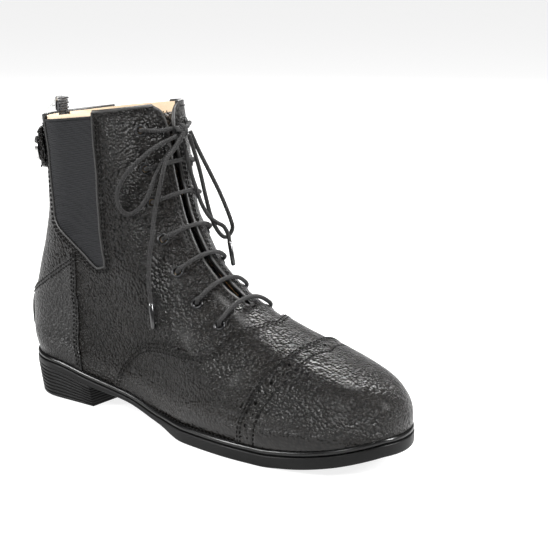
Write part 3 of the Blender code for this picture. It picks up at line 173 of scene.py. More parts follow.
def foot_half(along, side):
    """Half width at the feather line before the heel is rounded; side is -1 lateral, 1 medial."""
    share = np.clip(along / LAST_LENGTH, 0, 1)
    lateral = table(OUTLINE, "along", "lateral", share)
    medial = table(OUTLINE, "along", "medial", share)
    tip = np.clip((share - TOE_ROUND_FROM) / (1 - TOE_ROUND_FROM), 0, 1)
    rounding = np.sqrt(np.maximum(0, 1 - tip**TOE_FULLNESS))
    return BALL_WIDTH * np.where(side < 0, lateral, medial) * rounding


def heel_round(run, height):
    """Share of the width at this distance in front of the back line."""
    reach = HEEL_ROUND + (SHAFT_ROUND - HEEL_ROUND) * smoothstep(SHAFT_BLEND_LOW, SHAFT_BLEND_HIGH, height)
    t = np.clip(1 - run / reach, 0, 1)
    return np.sqrt(np.maximum(0, 1 - t**HEEL_FULLNESS))


def front_line(station):
    foot = by_row(FRONT, "foot", station)
    shaft = by_row(FRONT, "shaft", station)
    rise = by_row(FRONT, "rise", station)
    along = LAST_LENGTH * foot + SHAFT_LENGTH * shaft
    height = INSTEP_HEIGHT * np.minimum(rise, 1) + (COLLAR_FRONT - INSTEP_HEIGHT) * np.maximum(rise - 1, 0)
    return along, height


def back_line(height):
    up = np.clip((height - BACK_FEATHER) / BACK_HEIGHT, 0, 1)
    return LAST_LENGTH * table(BACK, "up", "along", up)


def base_place(station):
    """Signed place on the base line: below 0 on the feather, above 0 up the back."""
    base = by_row(FRONT, "base", station)
    up = by_row(FRONT, "up", station)
    return BACK_HEIGHT * up - LAST_LENGTH * base


def half_width(along, height, side):
    """Half width of the skin before the front and the back are rounded."""
    above = height - feather_height(along)
    bulge = SIDE_BULGE * np.sin(pi / 2 * np.clip(above / BULGE_HEIGHT, 0, 2))
    half = foot_half(along, side)
    foot = half + bulge * heel_round(along, 0.0) * half / (BALL_WIDTH / 2)
    widening = smoothstep(SHAFT_BLEND_LOW, COLLAR_BACK, height)
    shaft = (ANKLE_WIDTH + (SHAFT_WIDTH - ANKLE_WIDTH) * widening) / 2
    blend = smoothstep(SHAFT_BLEND_LOW, SHAFT_BLEND_HIGH, height)
    return foot + (shaft - foot) * blend


def skin(station, around):
    """Points of the upper's outer skin as an array of (along, across, height)."""
    station, around = np.broadcast_arrays(np.asarray(station, float), np.asarray(around, float))
    side = np.where(around < 0, -1.0, 1.0)
    turn = np.abs(around)
    front_along, front_height = front_line(station)
    place = base_place(station)
    base_height = np.where(place < 0, feather_height(-place), BACK_FEATHER + place)
    base_along = np.where(place < 0, -place, back_line(base_height))
    closing = smoothstep(-LAST_LENGTH / 3, 0, place)
    share = (1 - closing) * (1 - np.cos(pi / 2 * turn)) + closing * (1 - np.cos(pi * turn)) / 2
    along = front_along + share * (base_along - front_along)
    height = front_height + share * (base_height - front_height)
    depth = np.clip(share / by_row(FRONT, "depth", station), 0, 1)
    fullness = by_row(FRONT, "fullness", station)
    rounding = (1 - (1 - depth) ** fullness) ** (1 / fullness)
    width = half_width(along, height, side) * rounding * heel_round(along - back_line(height), height)
    return np.stack([along, side * width, height], axis=-1)


def skin_normal(station, around):
    """Outward unit normals of the skin by differences that stay inside it."""
    station, around = np.broadcast_arrays(np.asarray(station, float), np.asarray(around, float))
    step = 0.004
    ahead = np.minimum(station + step, COLLAR)
    behind = np.maximum(station - step, TOE)
    along_station = skin(ahead, around) - skin(behind, around)
    turn_step = 0.012
    high = np.minimum(around + turn_step, 1.0)
    low = np.maximum(around - turn_step, -1.0)
    along_turn = skin(station, high) - skin(station, low)
    normal = np.cross(along_turn, along_station)
    closed_back = (base_place(station) > 0) & (np.abs(around) > 1 - 1e-9)
    middle = closed_back | (station <= TOE + 1e-9) | (np.abs(around) < 1e-9)
    normal[..., 1] = np.where(middle, 0.0, normal[..., 1])
    length = np.linalg.norm(normal, axis=-1, keepdims=True)
    return normal / np.maximum(length, 1e-12)


# Seam of the vamp over the quarter, from the front line down to the feather
Seam = namedtuple("Seam", "share station around")
VAMP_SEAM = [
    Seam(0.00, 6.60, 0.000), Seam(0.12, 6.80, 0.145), Seam(0.22, 7.03, 0.265), Seam(0.33, 7.18, 0.400),
    Seam(0.42, 7.36, 0.505), Seam(0.55, 7.92, 0.590), Seam(0.66, 8.46, 0.640), Seam(0.76, 8.90, 0.705),
    Seam(0.84, 9.14, 0.775), Seam(0.92, 9.23, 0.880), Seam(1.00, 9.20, 1.000),
]
CAP_SEAM = [
    Seam(0.00, 5.30, 0.000), Seam(0.17, 5.38, 0.170), Seam(0.30, 5.46, 0.300), Seam(0.46, 5.66, 0.460),
    Seam(0.66, 5.94, 0.665), Seam(0.81, 6.12, 0.810), Seam(1.00, 6.24, 1.000),
]

# Elastic gusset from the collar down to its tip, with its front and its back edge
Gusset = namedtuple("Gusset", "share front_station front_around back_station back_around")
GUSSET = [
    Gusset(0.00, 12.00, 0.375, 12.00, 0.712), Gusset(0.25, 11.65, 0.388, 11.76, 0.710),
    Gusset(0.50, 11.25, 0.388, 11.48, 0.690), Gusset(0.70, 10.90, 0.382, 11.24, 0.655),
    Gusset(0.85, 10.62, 0.378, 10.96, 0.565), Gusset(0.95, 10.44, 0.382, 10.66, 0.470),
    Gusset(1.00, 10.37, 0.394, 10.42, 0.420),
]
GUSSET_DROP = 0.0025

# Half width of the gap between the two facings
Throat = namedtuple("Throat", "station half")
THROAT = [
    Throat(7.30, 0.0010), Throat(7.60, 0.0030), Throat(8.10, 0.0040), Throat(9.40, 0.0036),
    Throat(10.60, 0.0031), Throat(11.70, 0.0031), Throat(11.90, 0.0058), Throat(12.00, 0.0120),
]

# Eyelets from the bottom pair to the top pair, lateral side; the medial side mirrors them
Eyelet = namedtuple("Eyelet", "station around")
EYELETS = [
    Eyelet(7.60, 0.345), Eyelet(8.40, 0.320), Eyelet(9.28, 0.260), Eyelet(10.08, 0.172),
    Eyelet(10.74, 0.155), Eyelet(11.24, 0.160), Eyelet(11.72, 0.160),
]
EYELET_HOLE = 0.0020
EYELET_BARREL = 0.0027
EYELET_FLANGE = 0.0037
EYELET_RIM = 0.0005
LACE = 0.0026
LACE_CLEARANCE = 0.0009

LACE_INSIDE = WALL + GAP + LACE / 2 + LACE_CLEARANCE
LACE_OVER = GAP + EYELET_RIM + GAP + LACE / 2

# Bow: where its knot sits, and the directions (outward, across, up the front line) that leave it
KNOT_STATION = 11.62
KNOT_HEIGHT = 0.0066
KNOT_RADII = (0.0038, 0.0050, 0.0040)
KNOT_GAP = 0.0006
LACE_EXIT = (-0.35, 0.85, 0.45)
LOOP_NEAR_OUT = (0.28, 0.90, -0.36)
LOOP_NEAR_BACK = (0.35, 0.34, -0.88)
TAIL_NEAR_EXIT = (0.93, 0.38, -0.15)
LOOP_FAR_OUT = (0.50, 0.85, -0.12)
LOOP_FAR_BACK = (0.80, 0.42, -0.43)
TAIL_FAR_EXIT = (-0.10, 0.25, -0.95)
AGLET_LENGTH = 0.015

# Cords of the bow as places over the skin; height is in shares of LACE
Cord = namedtuple("Cord", "station around height")
LOOP_NEAR = [
    Cord(11.500, -0.110, 2.25), Cord(11.430, -0.160, 2.00), Cord(11.290, -0.236, 1.20),
    Cord(11.100, -0.284, 0.90), Cord(10.890, -0.282, 0.90), Cord(10.740, -0.250, 0.95),
    Cord(10.745, -0.208, 1.50), Cord(10.860, -0.174, 2.05), Cord(11.120, -0.132, 2.15),
    Cord(11.340, -0.080, 2.30),
]
TAIL_NEAR = [
    Cord(11.420, -0.056, 3.80), Cord(11.290, -0.094, 3.55), Cord(10.980, -0.124, 3.20),
    Cord(10.610, -0.156, 2.30), Cord(10.180, -0.204, 2.05), Cord(9.850, -0.278, 1.20),
    Cord(9.470, -0.402, 0.98), Cord(9.230, -0.500, 0.98),
]
LOOP_FAR = [
    Cord(11.310, 0.065, 4.10), Cord(10.950, 0.090, 5.10), Cord(10.570, 0.115, 5.95),
    Cord(10.010, 0.150, 6.00), Cord(9.810, 0.178, 5.35), Cord(9.700, 0.190, 3.30), Cord(9.830, 0.160, 2.25),
    Cord(10.150, 0.112, 2.25), Cord(10.620, 0.080, 2.90), Cord(11.070, 0.062, 3.35),
]
TAIL_FAR = [
    Cord(11.360, 0.020, 2.20), Cord(11.200, 0.024, 2.15), Cord(10.950, 0.034, 2.10),
    Cord(10.700, 0.045, 2.10), Cord(10.450, 0.055, 2.15), Cord(10.180, 0.080, 2.45),
    Cord(10.000, 0.100, 3.35), Cord(9.860, 0.115, 4.30), Cord(9.640, 0.140, 4.30), Cord(9.470, 0.160, 3.85),
]
# Hidden run back up the lace's far side, then across under the gap
RETURN_RUN = [
    Eyelet(7.78, 0.290), Eyelet(8.10, 0.215), Eyelet(8.70, 0.170), Eyelet(9.40, 0.120),
    Eyelet(10.10, 0.085), Eyelet(10.80, 0.080), Eyelet(11.15, 0.070), Eyelet(11.36, 0.000),
    Eyelet(11.55, -0.080), Eyelet(11.66, -0.130),
]

# Tongue behind the facings, with the room that the hidden lace needs
TONGUE_DEPTH = LACE_INSIDE + LACE / 2 + LACE_CLEARANCE
Tongue = namedtuple("Tongue", "station half_around depth")
TONGUE = [
    Tongue(6.95, 0.16, 0.46), Tongue(7.25, 0.24, 0.62), Tongue(7.55, 0.31, 1.00), Tongue(8.40, 0.37, 1.00),
    Tongue(9.28, 0.33, 1.00), Tongue(10.08, 0.25, 1.00), Tongue(10.74, 0.23, 1.00),
    Tongue(11.24, 0.23, 1.00), Tongue(11.84, 0.23, 1.00),
]

SIDES = ((-1, "lateral"), (1, "medial"))
GUSSET_LENGTH = 0.085
GUSSET_RECESS = 0.0003

# Lens-shaped spur rest round the back of the heel
SPUR_LOW = 0.0345
SPUR_HIGH = 0.0685
SPUR_REACH = 0.15
SPUR_EDGE = 0.0007
SPUR_THICKNESS = 0.0030

# Reach of the cutters
CUT_ABOVE = 0.0120
THROAT_DEPTH = 0.0100
CUT_OUT = 0.0070
CUT_IN = 0.0060

# Zip at the back seam, with its slider at the top and the bail that holds the pull
ZIP_HALF = 0.0050
ZIP_BOTTOM = 0.072
ZIP_DEPTH = 0.0015
ZIP_RECESS = 0.0004
ZIP_RISE = 0.0068
ZIP_TOP = COLLAR_BACK + ZIP_RISE
ZIP_ROUND = 0.034
SLIDER_HALF = 0.0040
SLIDER_LOW = ZIP_TOP - 0.0056
SLIDER_HIGH = ZIP_TOP + 0.0036
SLIDER_BRIDGE = ZIP_TOP + 0.0006
SLIDER_PLATE = 0.0012
SLIDER_PLAY = 0.0004
BAIL_WIRE = 0.0009
BAIL_REACH = 0.0031
BAIL_LOW = SLIDER_LOW + 0.0034
BAIL_HIGH = SLIDER_HIGH - 0.0004

# Snap strap over the zip, and its button on the lateral corner
STRAP_HIGH = COLLAR_BACK - 0.0055
STRAP_LOW = STRAP_HIGH - 0.0270
STRAP_LATERAL = 0.735
STRAP_MEDIAL = 0.720
STRAP_REST = 0.0015
STRAP_THICKNESS = 0.0024
BUTTON_TURN = 0.818
BUTTON_HEIGHT = (STRAP_LOW + STRAP_HIGH) / 2
BUTTON_RADIUS = 0.0078
BUTTON_THICKNESS = 0.0026
BUTTON_SEAT = 0.0004

# Heel block
HEEL_BREAST = 0.0620
HEEL_TAPER = 0.0030
HEEL_RIBS = 7
EDGE_ROUND = 0.0009
HEEL_REST = HEEL_BREAST / 2


def corner_station():
    """Station whose base point is the heel's back corner."""
    stations = np.linspace(COLLAR - 2, COLLAR - 1, 2001)
    return float(np.interp(0.0, base_place(stations), stations))


CORNER = corner_station()


def spaced_stations(start, end, count):
    """Stations spread evenly by the length of the front line, the base line and the toe's roundness."""
    fine = np.linspace(start, end, 801)
    front = np.stack(front_line(fine), axis=-1)
    base = skin(fine, 1.0)
    travel = np.linalg.norm(np.diff(front, axis=0), axis=1) + np.linalg.norm(np.diff(base, axis=0), axis=1)
    length = np.concatenate([[0.0], np.cumsum(travel)])
    return np.interp(np.linspace(0, length[-1], count + 1), length, fine)


def put(point):
    """Point of the last moved into the part's own frame."""
    return Vector((float(point[0]) - HEEL_REST, float(point[1]), float(point[2])))


# Soft troughs where the leather gives, as places on the skin with a depth and a width
Crease = namedtuple("Crease", "start middle end depth width")
CREASES = [
    Crease((8.6, -0.62), (9.2, -0.50), (9.9, -0.42), 0.0007, 0.0050),
    Crease((9.0, -0.80), (9.5, -0.66), (10.0, -0.56), 0.0006, 0.0045),
    Crease((8.0, -0.52), (8.7, -0.42), (9.3, -0.36), 0.0005, 0.0045),
    Crease((6.4, -0.42), (6.7, -0.60), (7.0, -0.78), 0.0005, 0.0055),
    Crease((8.6, 0.62), (9.2, 0.50), (9.9, 0.42), 0.0007, 0.0050),
    Crease((9.0, 0.80), (9.5, 0.66), (10.0, 0.56), 0.0006, 0.0045),
    Crease((6.3, 0.40), (6.6, 0.58), (6.9, 0.76), 0.0005, 0.0055),
]


def crease_paths():
    paths = []
    for row in CREASES:
        t = np.linspace(0, 1, 15)[:, None]
        start, middle, end = (np.array(place) for place in (row.start, row.middle, row.end))
        places = (1 - t) ** 2 * start + 2 * t * (1 - t) * middle + t**2 * end
        fade = np.sin(pi * t[:, 0]) ** 0.7
        paths.append((skin(places[:, 0], places[:, 1]), row.depth * fade, row.width))
    return paths


CREASE_PATHS = crease_paths()


def softness(points):
    """Small swells and troughs of the leather, as a height along the normal."""
    x, y, z = (points[..., k] * 1000.0 for k in range(3))
    swell = (np.sin(x / 7.3 + 0.6 * np.sin(z / 9.1)) * np.sin(z / 6.1 + 0.9 * np.sin(y / 8.7))
             + 0.6 * np.sin(x / 3.9 + z / 5.3) * np.sin(z / 4.7 - y / 4.1))
    height = 0.00007 * swell
    for path, depth, width in CREASE_PATHS:
        for place, deep in zip(path, depth):
            away = np.sum((points - place) ** 2, axis=-1)
            near = np.exp(-away / width**2)
            height = np.minimum(height, height - deep * near * 0.35)
    return height


def surface(station, around, offset=0.0):
    """Points at a distance outside (or, below zero, inside) the soft skin."""
    offset = np.asarray(offset, float)
    base = skin(station, around)
    normal = skin_normal(station, around)
    return base + (offset + softness(base))[..., None] * normal


def add_mesh(name, points, faces, material=None, sharp_angle=40.0):
    mesh = bpy.data.meshes.new(name)
    mesh.from_pydata([put(point) for point in points], [], [list(face) for face in faces])
    mesh.validate()
    mesh.shade_smooth()
    mesh.set_sharp_from_angle(angle=radians(sharp_angle))
    obj = bpy.data.objects.new(name, mesh)
    bpy.context.scene.collection.objects.link(obj)
    if material is None:
        obj.hide_render = True
    else:
        mesh.materials.append(material)
    return obj


def fix_facing(obj):
    """Turns a closed mesh inside out if its faces point inwards."""
    shape = bmesh.new()
    shape.from_mesh(obj.data)
    if shape.calc_volume(signed=True) < 0:
        bmesh.ops.reverse_faces(shape, faces=shape.faces)
        shape.to_mesh(obj.data)
    shape.free()
    return obj


def clean(obj, merge=0.0, turn=True):
    """Merges points closer than a distance and turns all faces the same way."""
    shape = bmesh.new()
    shape.from_mesh(obj.data)
    if merge:
        bmesh.ops.remove_doubles(shape, verts=shape.verts, dist=merge)
    if turn:
        bmesh.ops.recalc_face_normals(shape, faces=shape.faces)
    shape.to_mesh(obj.data)
    shape.free()
    return obj


def shell_faces(outer):
    """Merges coinciding grid points. Returns their first places and triangles mirrored in the middle."""
    rows, columns = outer.shape[:2]
    flat = np.round(outer.reshape(-1, 3), 7) + 0.0
    _, first, index = np.unique(flat, axis=0, return_index=True, return_inverse=True)
    index = index.reshape(rows, columns)
    faces = []
    for i in range(rows - 1):
        for j in range(columns - 1):
            (a, b), (d, c) = index[i:i + 2, j:j + 2].tolist()
            halves = ((a, b, d), (b, c, d)) if 2 * j < columns - 1 else ((a, b, c), (a, c, d))
            faces += [half for half in halves if len(set(half)) == 3]
    return first, faces


def add_shell(name, outer, inner, material=None, sharp_angle=40.0):
    """Closed solid between an outer and an inner grid of the same size."""
    first, faces = shell_faces(outer)
    count = len(first)
    points = np.concatenate([outer.reshape(-1, 3)[first], inner.reshape(-1, 3)[first]])
    directed = {(face[k - 1], face[k]) for face in faces for k in range(len(face))}
    inside = [[v + count for v in reversed(face)] for face in faces]
    rim = [[b, a, a + count, b + count] for a, b in directed if (b, a) not in directed]
    used = sorted({v for face in faces for v in face})
    lookup = {v: k for k, v in enumerate(used)}
    lookup.update({v + count: k + len(used) for k, v in enumerate(used)})
    order = used + [v + count for v in used]
    everything = [[lookup[v] for v in face] for face in faces + inside + sorted(rim)]
    return fix_facing(add_mesh(name, points[order], everything, material, sharp_angle))


def curve_read(rows, share):
    return table(rows, "share", "station", share), table(rows, "share", "around", share)


def boolean(obj, cutter):
    modifier = obj.modifiers.new(cutter.name, "BOOLEAN")
    modifier.operation = "DIFFERENCE"
    modifier.solver = "EXACT"
    modifier.object = cutter


def joined(name, objects, material=None):
    """One mesh of several separate ones: a cutter, or a piece if it has a material."""
    merged = bmesh.new()
    for obj in objects:
        merged.from_mesh(obj.data)
        bpy.data.objects.remove(obj)
    mesh = bpy.data.meshes.new(name)
    merged.to_mesh(mesh)
    merged.free()
    obj = bpy.data.objects.new(name, mesh)
    bpy.context.scene.collection.objects.link(obj)
    if material is None:
        obj.hide_render = True
    else:
        mesh.materials.append(material)
        mesh.shade_smooth()
        mesh.set_sharp_from_angle(angle=radians(40))
    return obj


def eyelet_frame(eyelet, side):
    """Centre, outward normal, direction to the front line and direction up the row."""
    centre = skin(eyelet.station, side * eyelet.around)
    normal = skin_normal(eyelet.station, side * eyelet.around)
    inward = skin(eyelet.station, side * (eyelet.around - 0.02)) - centre
    inward -= normal * np.dot(inward, normal)
    inward /= np.linalg.norm(inward)
    return centre, normal, inward


def feather_loop(margin, count):
    """Closed loop of (along, across) round the feather line, moved outwards by a margin function."""
    station = spaced_stations(TOE, CORNER, count)
    lateral = skin(station, -1.0)[:, :2]
    medial = skin(station, 1.0)[:, :2]
    loop = np.concatenate([lateral, medial[::-1][1:-1]])
    tangent = np.roll(loop, -1, axis=0) - np.roll(loop, 1, axis=0)
    normal = np.stack([-tangent[:, 1], tangent[:, 0]], axis=1)
    normal /= np.linalg.norm(normal, axis=1, keepdims=True)
    return loop + normal * margin(loop[:, 0])[:, None]


def edge_margin(along):
    """Width of the welt that shows round the upper, wider in the forefoot than at the heel."""
    return HEEL_MARGIN + (WELT_MARGIN - HEEL_MARGIN) * smoothstep(0.25, 0.60, along / LAST_LENGTH)


def sole_thickness(along):
    """Outsole without the welt: full in the forefoot, thin at the waist and at the heel seat."""
    share = np.clip(along / LAST_LENGTH, 0, 1)
    return OUTSOLE_THICKNESS * table(SOLE, "along", "thickness", share)


def sole_top(along):
    return feather_height(along) - GAP - WELT_THICKNESS - GAP


def sole_bottom(along):
    return sole_top(along) - sole_thickness(along)


def raised(loop, height):
    """Loop of (along, across) set at a height function of along."""
    return np.concatenate([loop, height(loop[:, 0])[:, None]], axis=1)


def level_station(height, around):
    """Station at which the skin of the heel or the shaft reaches this height along one turn."""
    stations = np.linspace(10.0, COLLAR, 1201)
    heights = skin(stations, around)[:, 2]
    lowest = int(np.argmin(heights))
    return float(np.interp(height, heights[lowest:], stations[lowest:]))


def back_patch(heights, turns):
    """Stations and turns of a patch across the back seam; turns go from -1 to 1 through it."""
    around = np.where(turns < 0, -1.0 - turns, 1.0 - turns)
    around = np.where(np.abs(turns) < 1e-9, 1.0, around)
    grid = [[level_station(high, turn) for high, turn in zip(*pair)] for pair in zip(heights, around)]
    return np.array(grid), around


def box_points(low, high):
    """Outer and inner grids of a box, for a shell."""
    outer = np.array([[[high[0], y, z] for y in (low[1], high[1])] for z in (low[2], high[2])])
    inner = outer.copy()
    inner[..., 0] = low[0]
    return outer, inner


def add_box(name, low, high, material=None):
    return add_shell(name, *box_points(low, high), material)


def add_cutter(name, station, around, first_row=0.0):
    """Block well through the wall and every layer on it, with its first row moved up."""
    grids = []
    for reach in (CUT_OUT, -CUT_IN):
        points = surface(station, around, reach)
        grids.append(np.concatenate([points[:1] + [0.0, 0.0, first_row], points], axis=0))
    return add_shell(name, *grids)


def zip_cutter():
    low = (-CUT_ABOVE, -ZIP_HALF, ZIP_BOTTOM)
    high = (SHAFT_ROUND * 0.8, ZIP_HALF, COLLAR_BACK + CUT_ABOVE)
    return add_box("zip_cut", low, high)


def lace_route():
    """Centre line of the lace: one serpentine of outside bars and hidden runs, open at the knot."""
    near, far = -1, 1
    route = approach(7, far)
    route += dive(7, far, 6)
    route += under(7, 6, far)
    route += dive(6, far, 7)[::-1]
    side = far
    for row in range(6, 0, -1):
        route += bar(row, side)
        side = -side
        if row > 1:
            route += dive(row, side, row - 1)
            route += under(row, row - 1, side)
            route += dive(row - 1, side, row)[::-1]
        else:
            route += dive(row, side, row + 1)
    route += long_run(side)
    route += dive(7, near, 6)[::-1]
    route += approach(7, near)[::-1]
    return np.array(route)


def local(row, side, inward, height, toward_row=None, along=0.0):
    """Point near an eyelet: towards the gap, above the skin, and along the row of eyelets."""
    eyelet = EYELETS[row - 1]
    centre, normal, toward_gap = eyelet_frame(eyelet, side)
    point = centre + toward_gap * inward + normal * height
    if toward_row:
        other = skin(EYELETS[toward_row - 1].station, side * EYELETS[toward_row - 1].around)
        direction = other - centre
        direction -= normal * np.dot(direction, normal)
        point = point + along * direction / np.linalg.norm(direction)
    return point


def dive(row, side, toward_row):
    """From just above an eyelet, down through it and off towards a neighbour, under the facing."""
    return [
        local(row, side, 0.0007, 0.0018),
        local(row, side, 0.0, 0.0007),
        local(row, side, 0.0, -0.0010),
        local(row, side, 0.0, -0.0026),
        local(row, side, 0.0, -0.0036, toward_row, 0.0008),
        local(row, side, 0.0, -LACE_INSIDE, toward_row, 0.0022),
    ]


def under(row, next_row, side):
    """Hidden run between two eyelets of one side."""
    first, last = EYELETS[row - 1], EYELETS[next_row - 1]
    shares = np.linspace(0.22, 0.78, 4)
    station = first.station + (last.station - first.station) * shares
    around = side * (first.around + (last.around - first.around) * shares)
    return list(surface(station, around, -LACE_INSIDE))


def bar(row, side):
    """Outside bar from one side's eyelet to the other's."""
    eyelet = EYELETS[row - 1]
    turns = side * eyelet.around * np.linspace(0.80, -0.80, 9)
    over = list(surface(eyelet.station, turns, LACE_OVER))
    start = [local(row, side, 0.0020, LACE_OVER + 0.0001)]
    end = [local(row, -side, 0.0020, LACE_OVER + 0.0001)]
    return start + over + end


def approach(row, side):
    """From beside the knot over the facing to an eyelet."""
    eyelet = EYELETS[row - 1]
    shares = np.array([0.50, 0.70, 0.82])
    station = KNOT_STATION + (eyelet.station - KNOT_STATION) * shares
    height = np.array([0.0038, 0.0027, LACE_OVER])
    over = list(surface(station, side * eyelet.around * shares, height))
    return [knot_exit(side, LACE_EXIT, over[0])] + over + [local(row, side, 0.0020, LACE_OVER + 0.0001)]


def long_run(side):
    """Hidden run from the bottom eyelet up beside the gap, then across it to the other top eyelet."""
    station, share = [], []
    for row in RETURN_RUN:
        station.append(row.station)
        share.append(row.around)
    fine = np.linspace(0, len(station) - 1, 30)
    stations = smooth_read(np.arange(len(station), dtype=float), np.array(station), fine)
    turns = smooth_read(np.arange(len(share), dtype=float), np.array(share), fine)
    return list(surface(stations, side * turns, -LACE_INSIDE))


def knot_frame():
    """Centre of the knot with its outward, across and upward directions."""
    normal = skin_normal(KNOT_STATION, 0.0)
    across = np.array([0.0, 1.0, 0.0])
    return surface(KNOT_STATION, 0.0, KNOT_HEIGHT), normal, across, np.cross(normal, across)


def knot_exit(side, direction, toward):
    """Start of a cord that leaves the knot for a place; side is -1 lateral, 1 medial."""
    centre, outward, across, upward = knot_frame()
    share = np.array(direction) / np.linalg.norm(direction / np.array(KNOT_RADII))
    reach = share[0] * outward + side * share[1] * across + share[2] * upward
    away = reach / np.linalg.norm(reach)
    heading = toward - centre - reach
    heading /= np.linalg.norm(heading)
    tilt = np.sqrt(max(0.0, 1 - np.dot(heading, away) ** 2))
    return centre + reach + away * (KNOT_GAP + LACE / 2 * tilt)


def curve_through(points, steps):
    """Smooth curve through the points, with a number of steps between two of them."""
    points = np.asarray(points, float)
    padded = np.concatenate([[2 * points[0] - points[1]], points, [2 * points[-1] - points[-2]]])
    places = []
    for k in range(len(points) - 1):
        before, start, end, after = padded[k:k + 4]
        for t in np.arange(steps) / steps:
            places.append(0.5 * (2 * start + (end - before) * t
                                 + (2 * before - 5 * start + 4 * end - after) * t**2
                                 + (3 * start - before - 3 * end + after) * t**3))
    return np.array(places + [points[-1]])


def over_skin(rows):
    """Points of a cord table in space."""
    stations = np.array([row.station for row in rows])
    turns = np.array([row.around for row in rows])
    heights = LACE * np.array([row.height for row in rows])
    return list(surface(stations, turns, heights))


def aglet_ends(route):
    """Start and end of the stiff tip that follows a cord's last stretch."""
    direction = route[-1] - route[-2]
    direction /= np.linalg.norm(direction)
    return [route[-1] + direction * GAP, route[-1] + direction * (GAP + AGLET_LENGTH)]


def zip_face(height, across=0.0):
    """Place of the tape's face at the back seam, with the roundness of the shaft."""
    return back_line(height) + across**2 / (2 * ZIP_ROUND) + ZIP_RECESS


PEBBLE = 560.0


# Looks


def place_in(tree, kind, **settings):
    node = tree.nodes.new(kind)
    for name, value in settings.items():
        setattr(node, name, value)
    return node


def ramp(tree, source, low, high, colours):
    node = tree.nodes.new("ShaderNodeValToRGB")
    node.color_ramp.elements[0].position, node.color_ramp.elements[1].position = low, high
    for element, colour in zip(node.color_ramp.elements, colours):
        element.color = (*colour, 1.0)
    tree.links.new(source, node.inputs["Fac"])
    return node.outputs["Color"]


def noise(tree, coordinates, scale, detail):
    node = tree.nodes.new("ShaderNodeTexNoise")
    node.inputs["Scale"].default_value = scale
    node.inputs["Detail"].default_value = detail
    node.inputs["Roughness"].default_value = 0.55
    tree.links.new(coordinates, node.inputs["Vector"])
    return node.outputs["Fac"]


def maths(tree, operation, first, second):
    node = place_in(tree, "ShaderNodeMath", operation=operation)
    for socket, value in zip(node.inputs, (first, second)):
        if isinstance(value, (int, float)):
            socket.default_value = value
        else:
            tree.links.new(value, socket)
    return node.outputs["Value"]


def start_material(name, roughness, coat=0.0, coat_roughness=0.3, metallic=0.0, sheen=0.0, specular=0.5):
    material = bpy.data.materials.new(name)
    material.use_nodes = True
    tree = material.node_tree
    shader = tree.nodes["Principled BSDF"]
    shader.inputs["Roughness"].default_value = roughness
    shader.inputs["Metallic"].default_value = metallic
    shader.inputs["Coat Weight"].default_value = coat
    shader.inputs["Coat Roughness"].default_value = coat_roughness
    shader.inputs["Sheen Weight"].default_value = sheen
    shader.inputs["Specular IOR Level"].default_value = specular
    coordinates = tree.nodes.new("ShaderNodeTexCoord").outputs["Object"]
    return material, tree, shader, coordinates


def add_bump(tree, shader, height, strength, distance):
    bump = tree.nodes.new("ShaderNodeBump")
    bump.inputs["Distance"].default_value = distance
    if isinstance(strength, (int, float)):
        bump.inputs["Strength"].default_value = strength
    else:
        tree.links.new(strength, bump.inputs["Strength"])
    tree.links.new(height, bump.inputs["Height"])
    tree.links.new(bump.outputs["Normal"], shader.inputs["Normal"])


def leather_material(name, dark, light, roughness, grain=1.0, coat=0.03):
    """Tumbled leather: rounded pebbles with creases between them, smoother near the welt."""
    sheen = {"coat": coat, "coat_roughness": 0.24, "specular": 0.25}
    material, tree, shader, place = start_material(name, roughness, **sheen)
    warp = place_in(tree, "ShaderNodeVectorMath", operation="MULTIPLY_ADD")
    wobble = tree.nodes.new("ShaderNodeTexNoise")
    wobble.inputs["Scale"].default_value = 260.0
    tree.links.new(place, wobble.inputs["Vector"])
    tree.links.new(wobble.outputs["Color"], warp.inputs[0])
    warp.inputs[1].default_value = (0.0012, 0.0012, 0.0012)
    tree.links.new(place, warp.inputs[2])
    cells = place_in(tree, "ShaderNodeTexVoronoi", feature="SMOOTH_F1")
    cells.inputs["Scale"].default_value = PEBBLE
    cells.inputs["Smoothness"].default_value = 0.35
    cells.inputs["Randomness"].default_value = 0.95
    tree.links.new(warp.outputs["Vector"], cells.inputs["Vector"])
    fine = noise(tree, place, 2600.0, 4.0)
    broad = noise(tree, place, 28.0, 3.0)
    pebbles = maths(tree, "SUBTRACT", 1.0, cells.outputs["Distance"])
    height = maths(tree, "ADD", pebbles, maths(tree, "MULTIPLY", fine, 0.16))
    apart = tree.nodes.new("ShaderNodeSeparateXYZ")
    tree.links.new(place, apart.inputs["Vector"])
    low = maths(tree, "MULTIPLY", apart.outputs["Z"], 22.0)
    low = maths(tree, "ADD", low, maths(tree, "MULTIPLY", broad, 0.5))
    strength = ramp(tree, low, 0.62, 1.35, ((0.10 * grain,) * 3, (0.62 * grain,) * 3))
    add_bump(tree, shader, height, strength, 0.0021)
    tone = maths(tree, "ADD", maths(tree, "MULTIPLY", pebbles, 0.55), maths(tree, "MULTIPLY", broad, 0.45))
    tree.links.new(ramp(tree, tone, 0.30, 0.86, (dark, light)), shader.inputs["Base Color"])
    rough = ramp(tree, maths(tree, "ADD", low, maths(tree, "MULTIPLY", fine, 0.2)), 0.55, 1.5,
                 ((roughness - 0.12,) * 3, (roughness + 0.06,) * 3))
    tree.links.new(rough, shader.inputs["Roughness"])
    return material


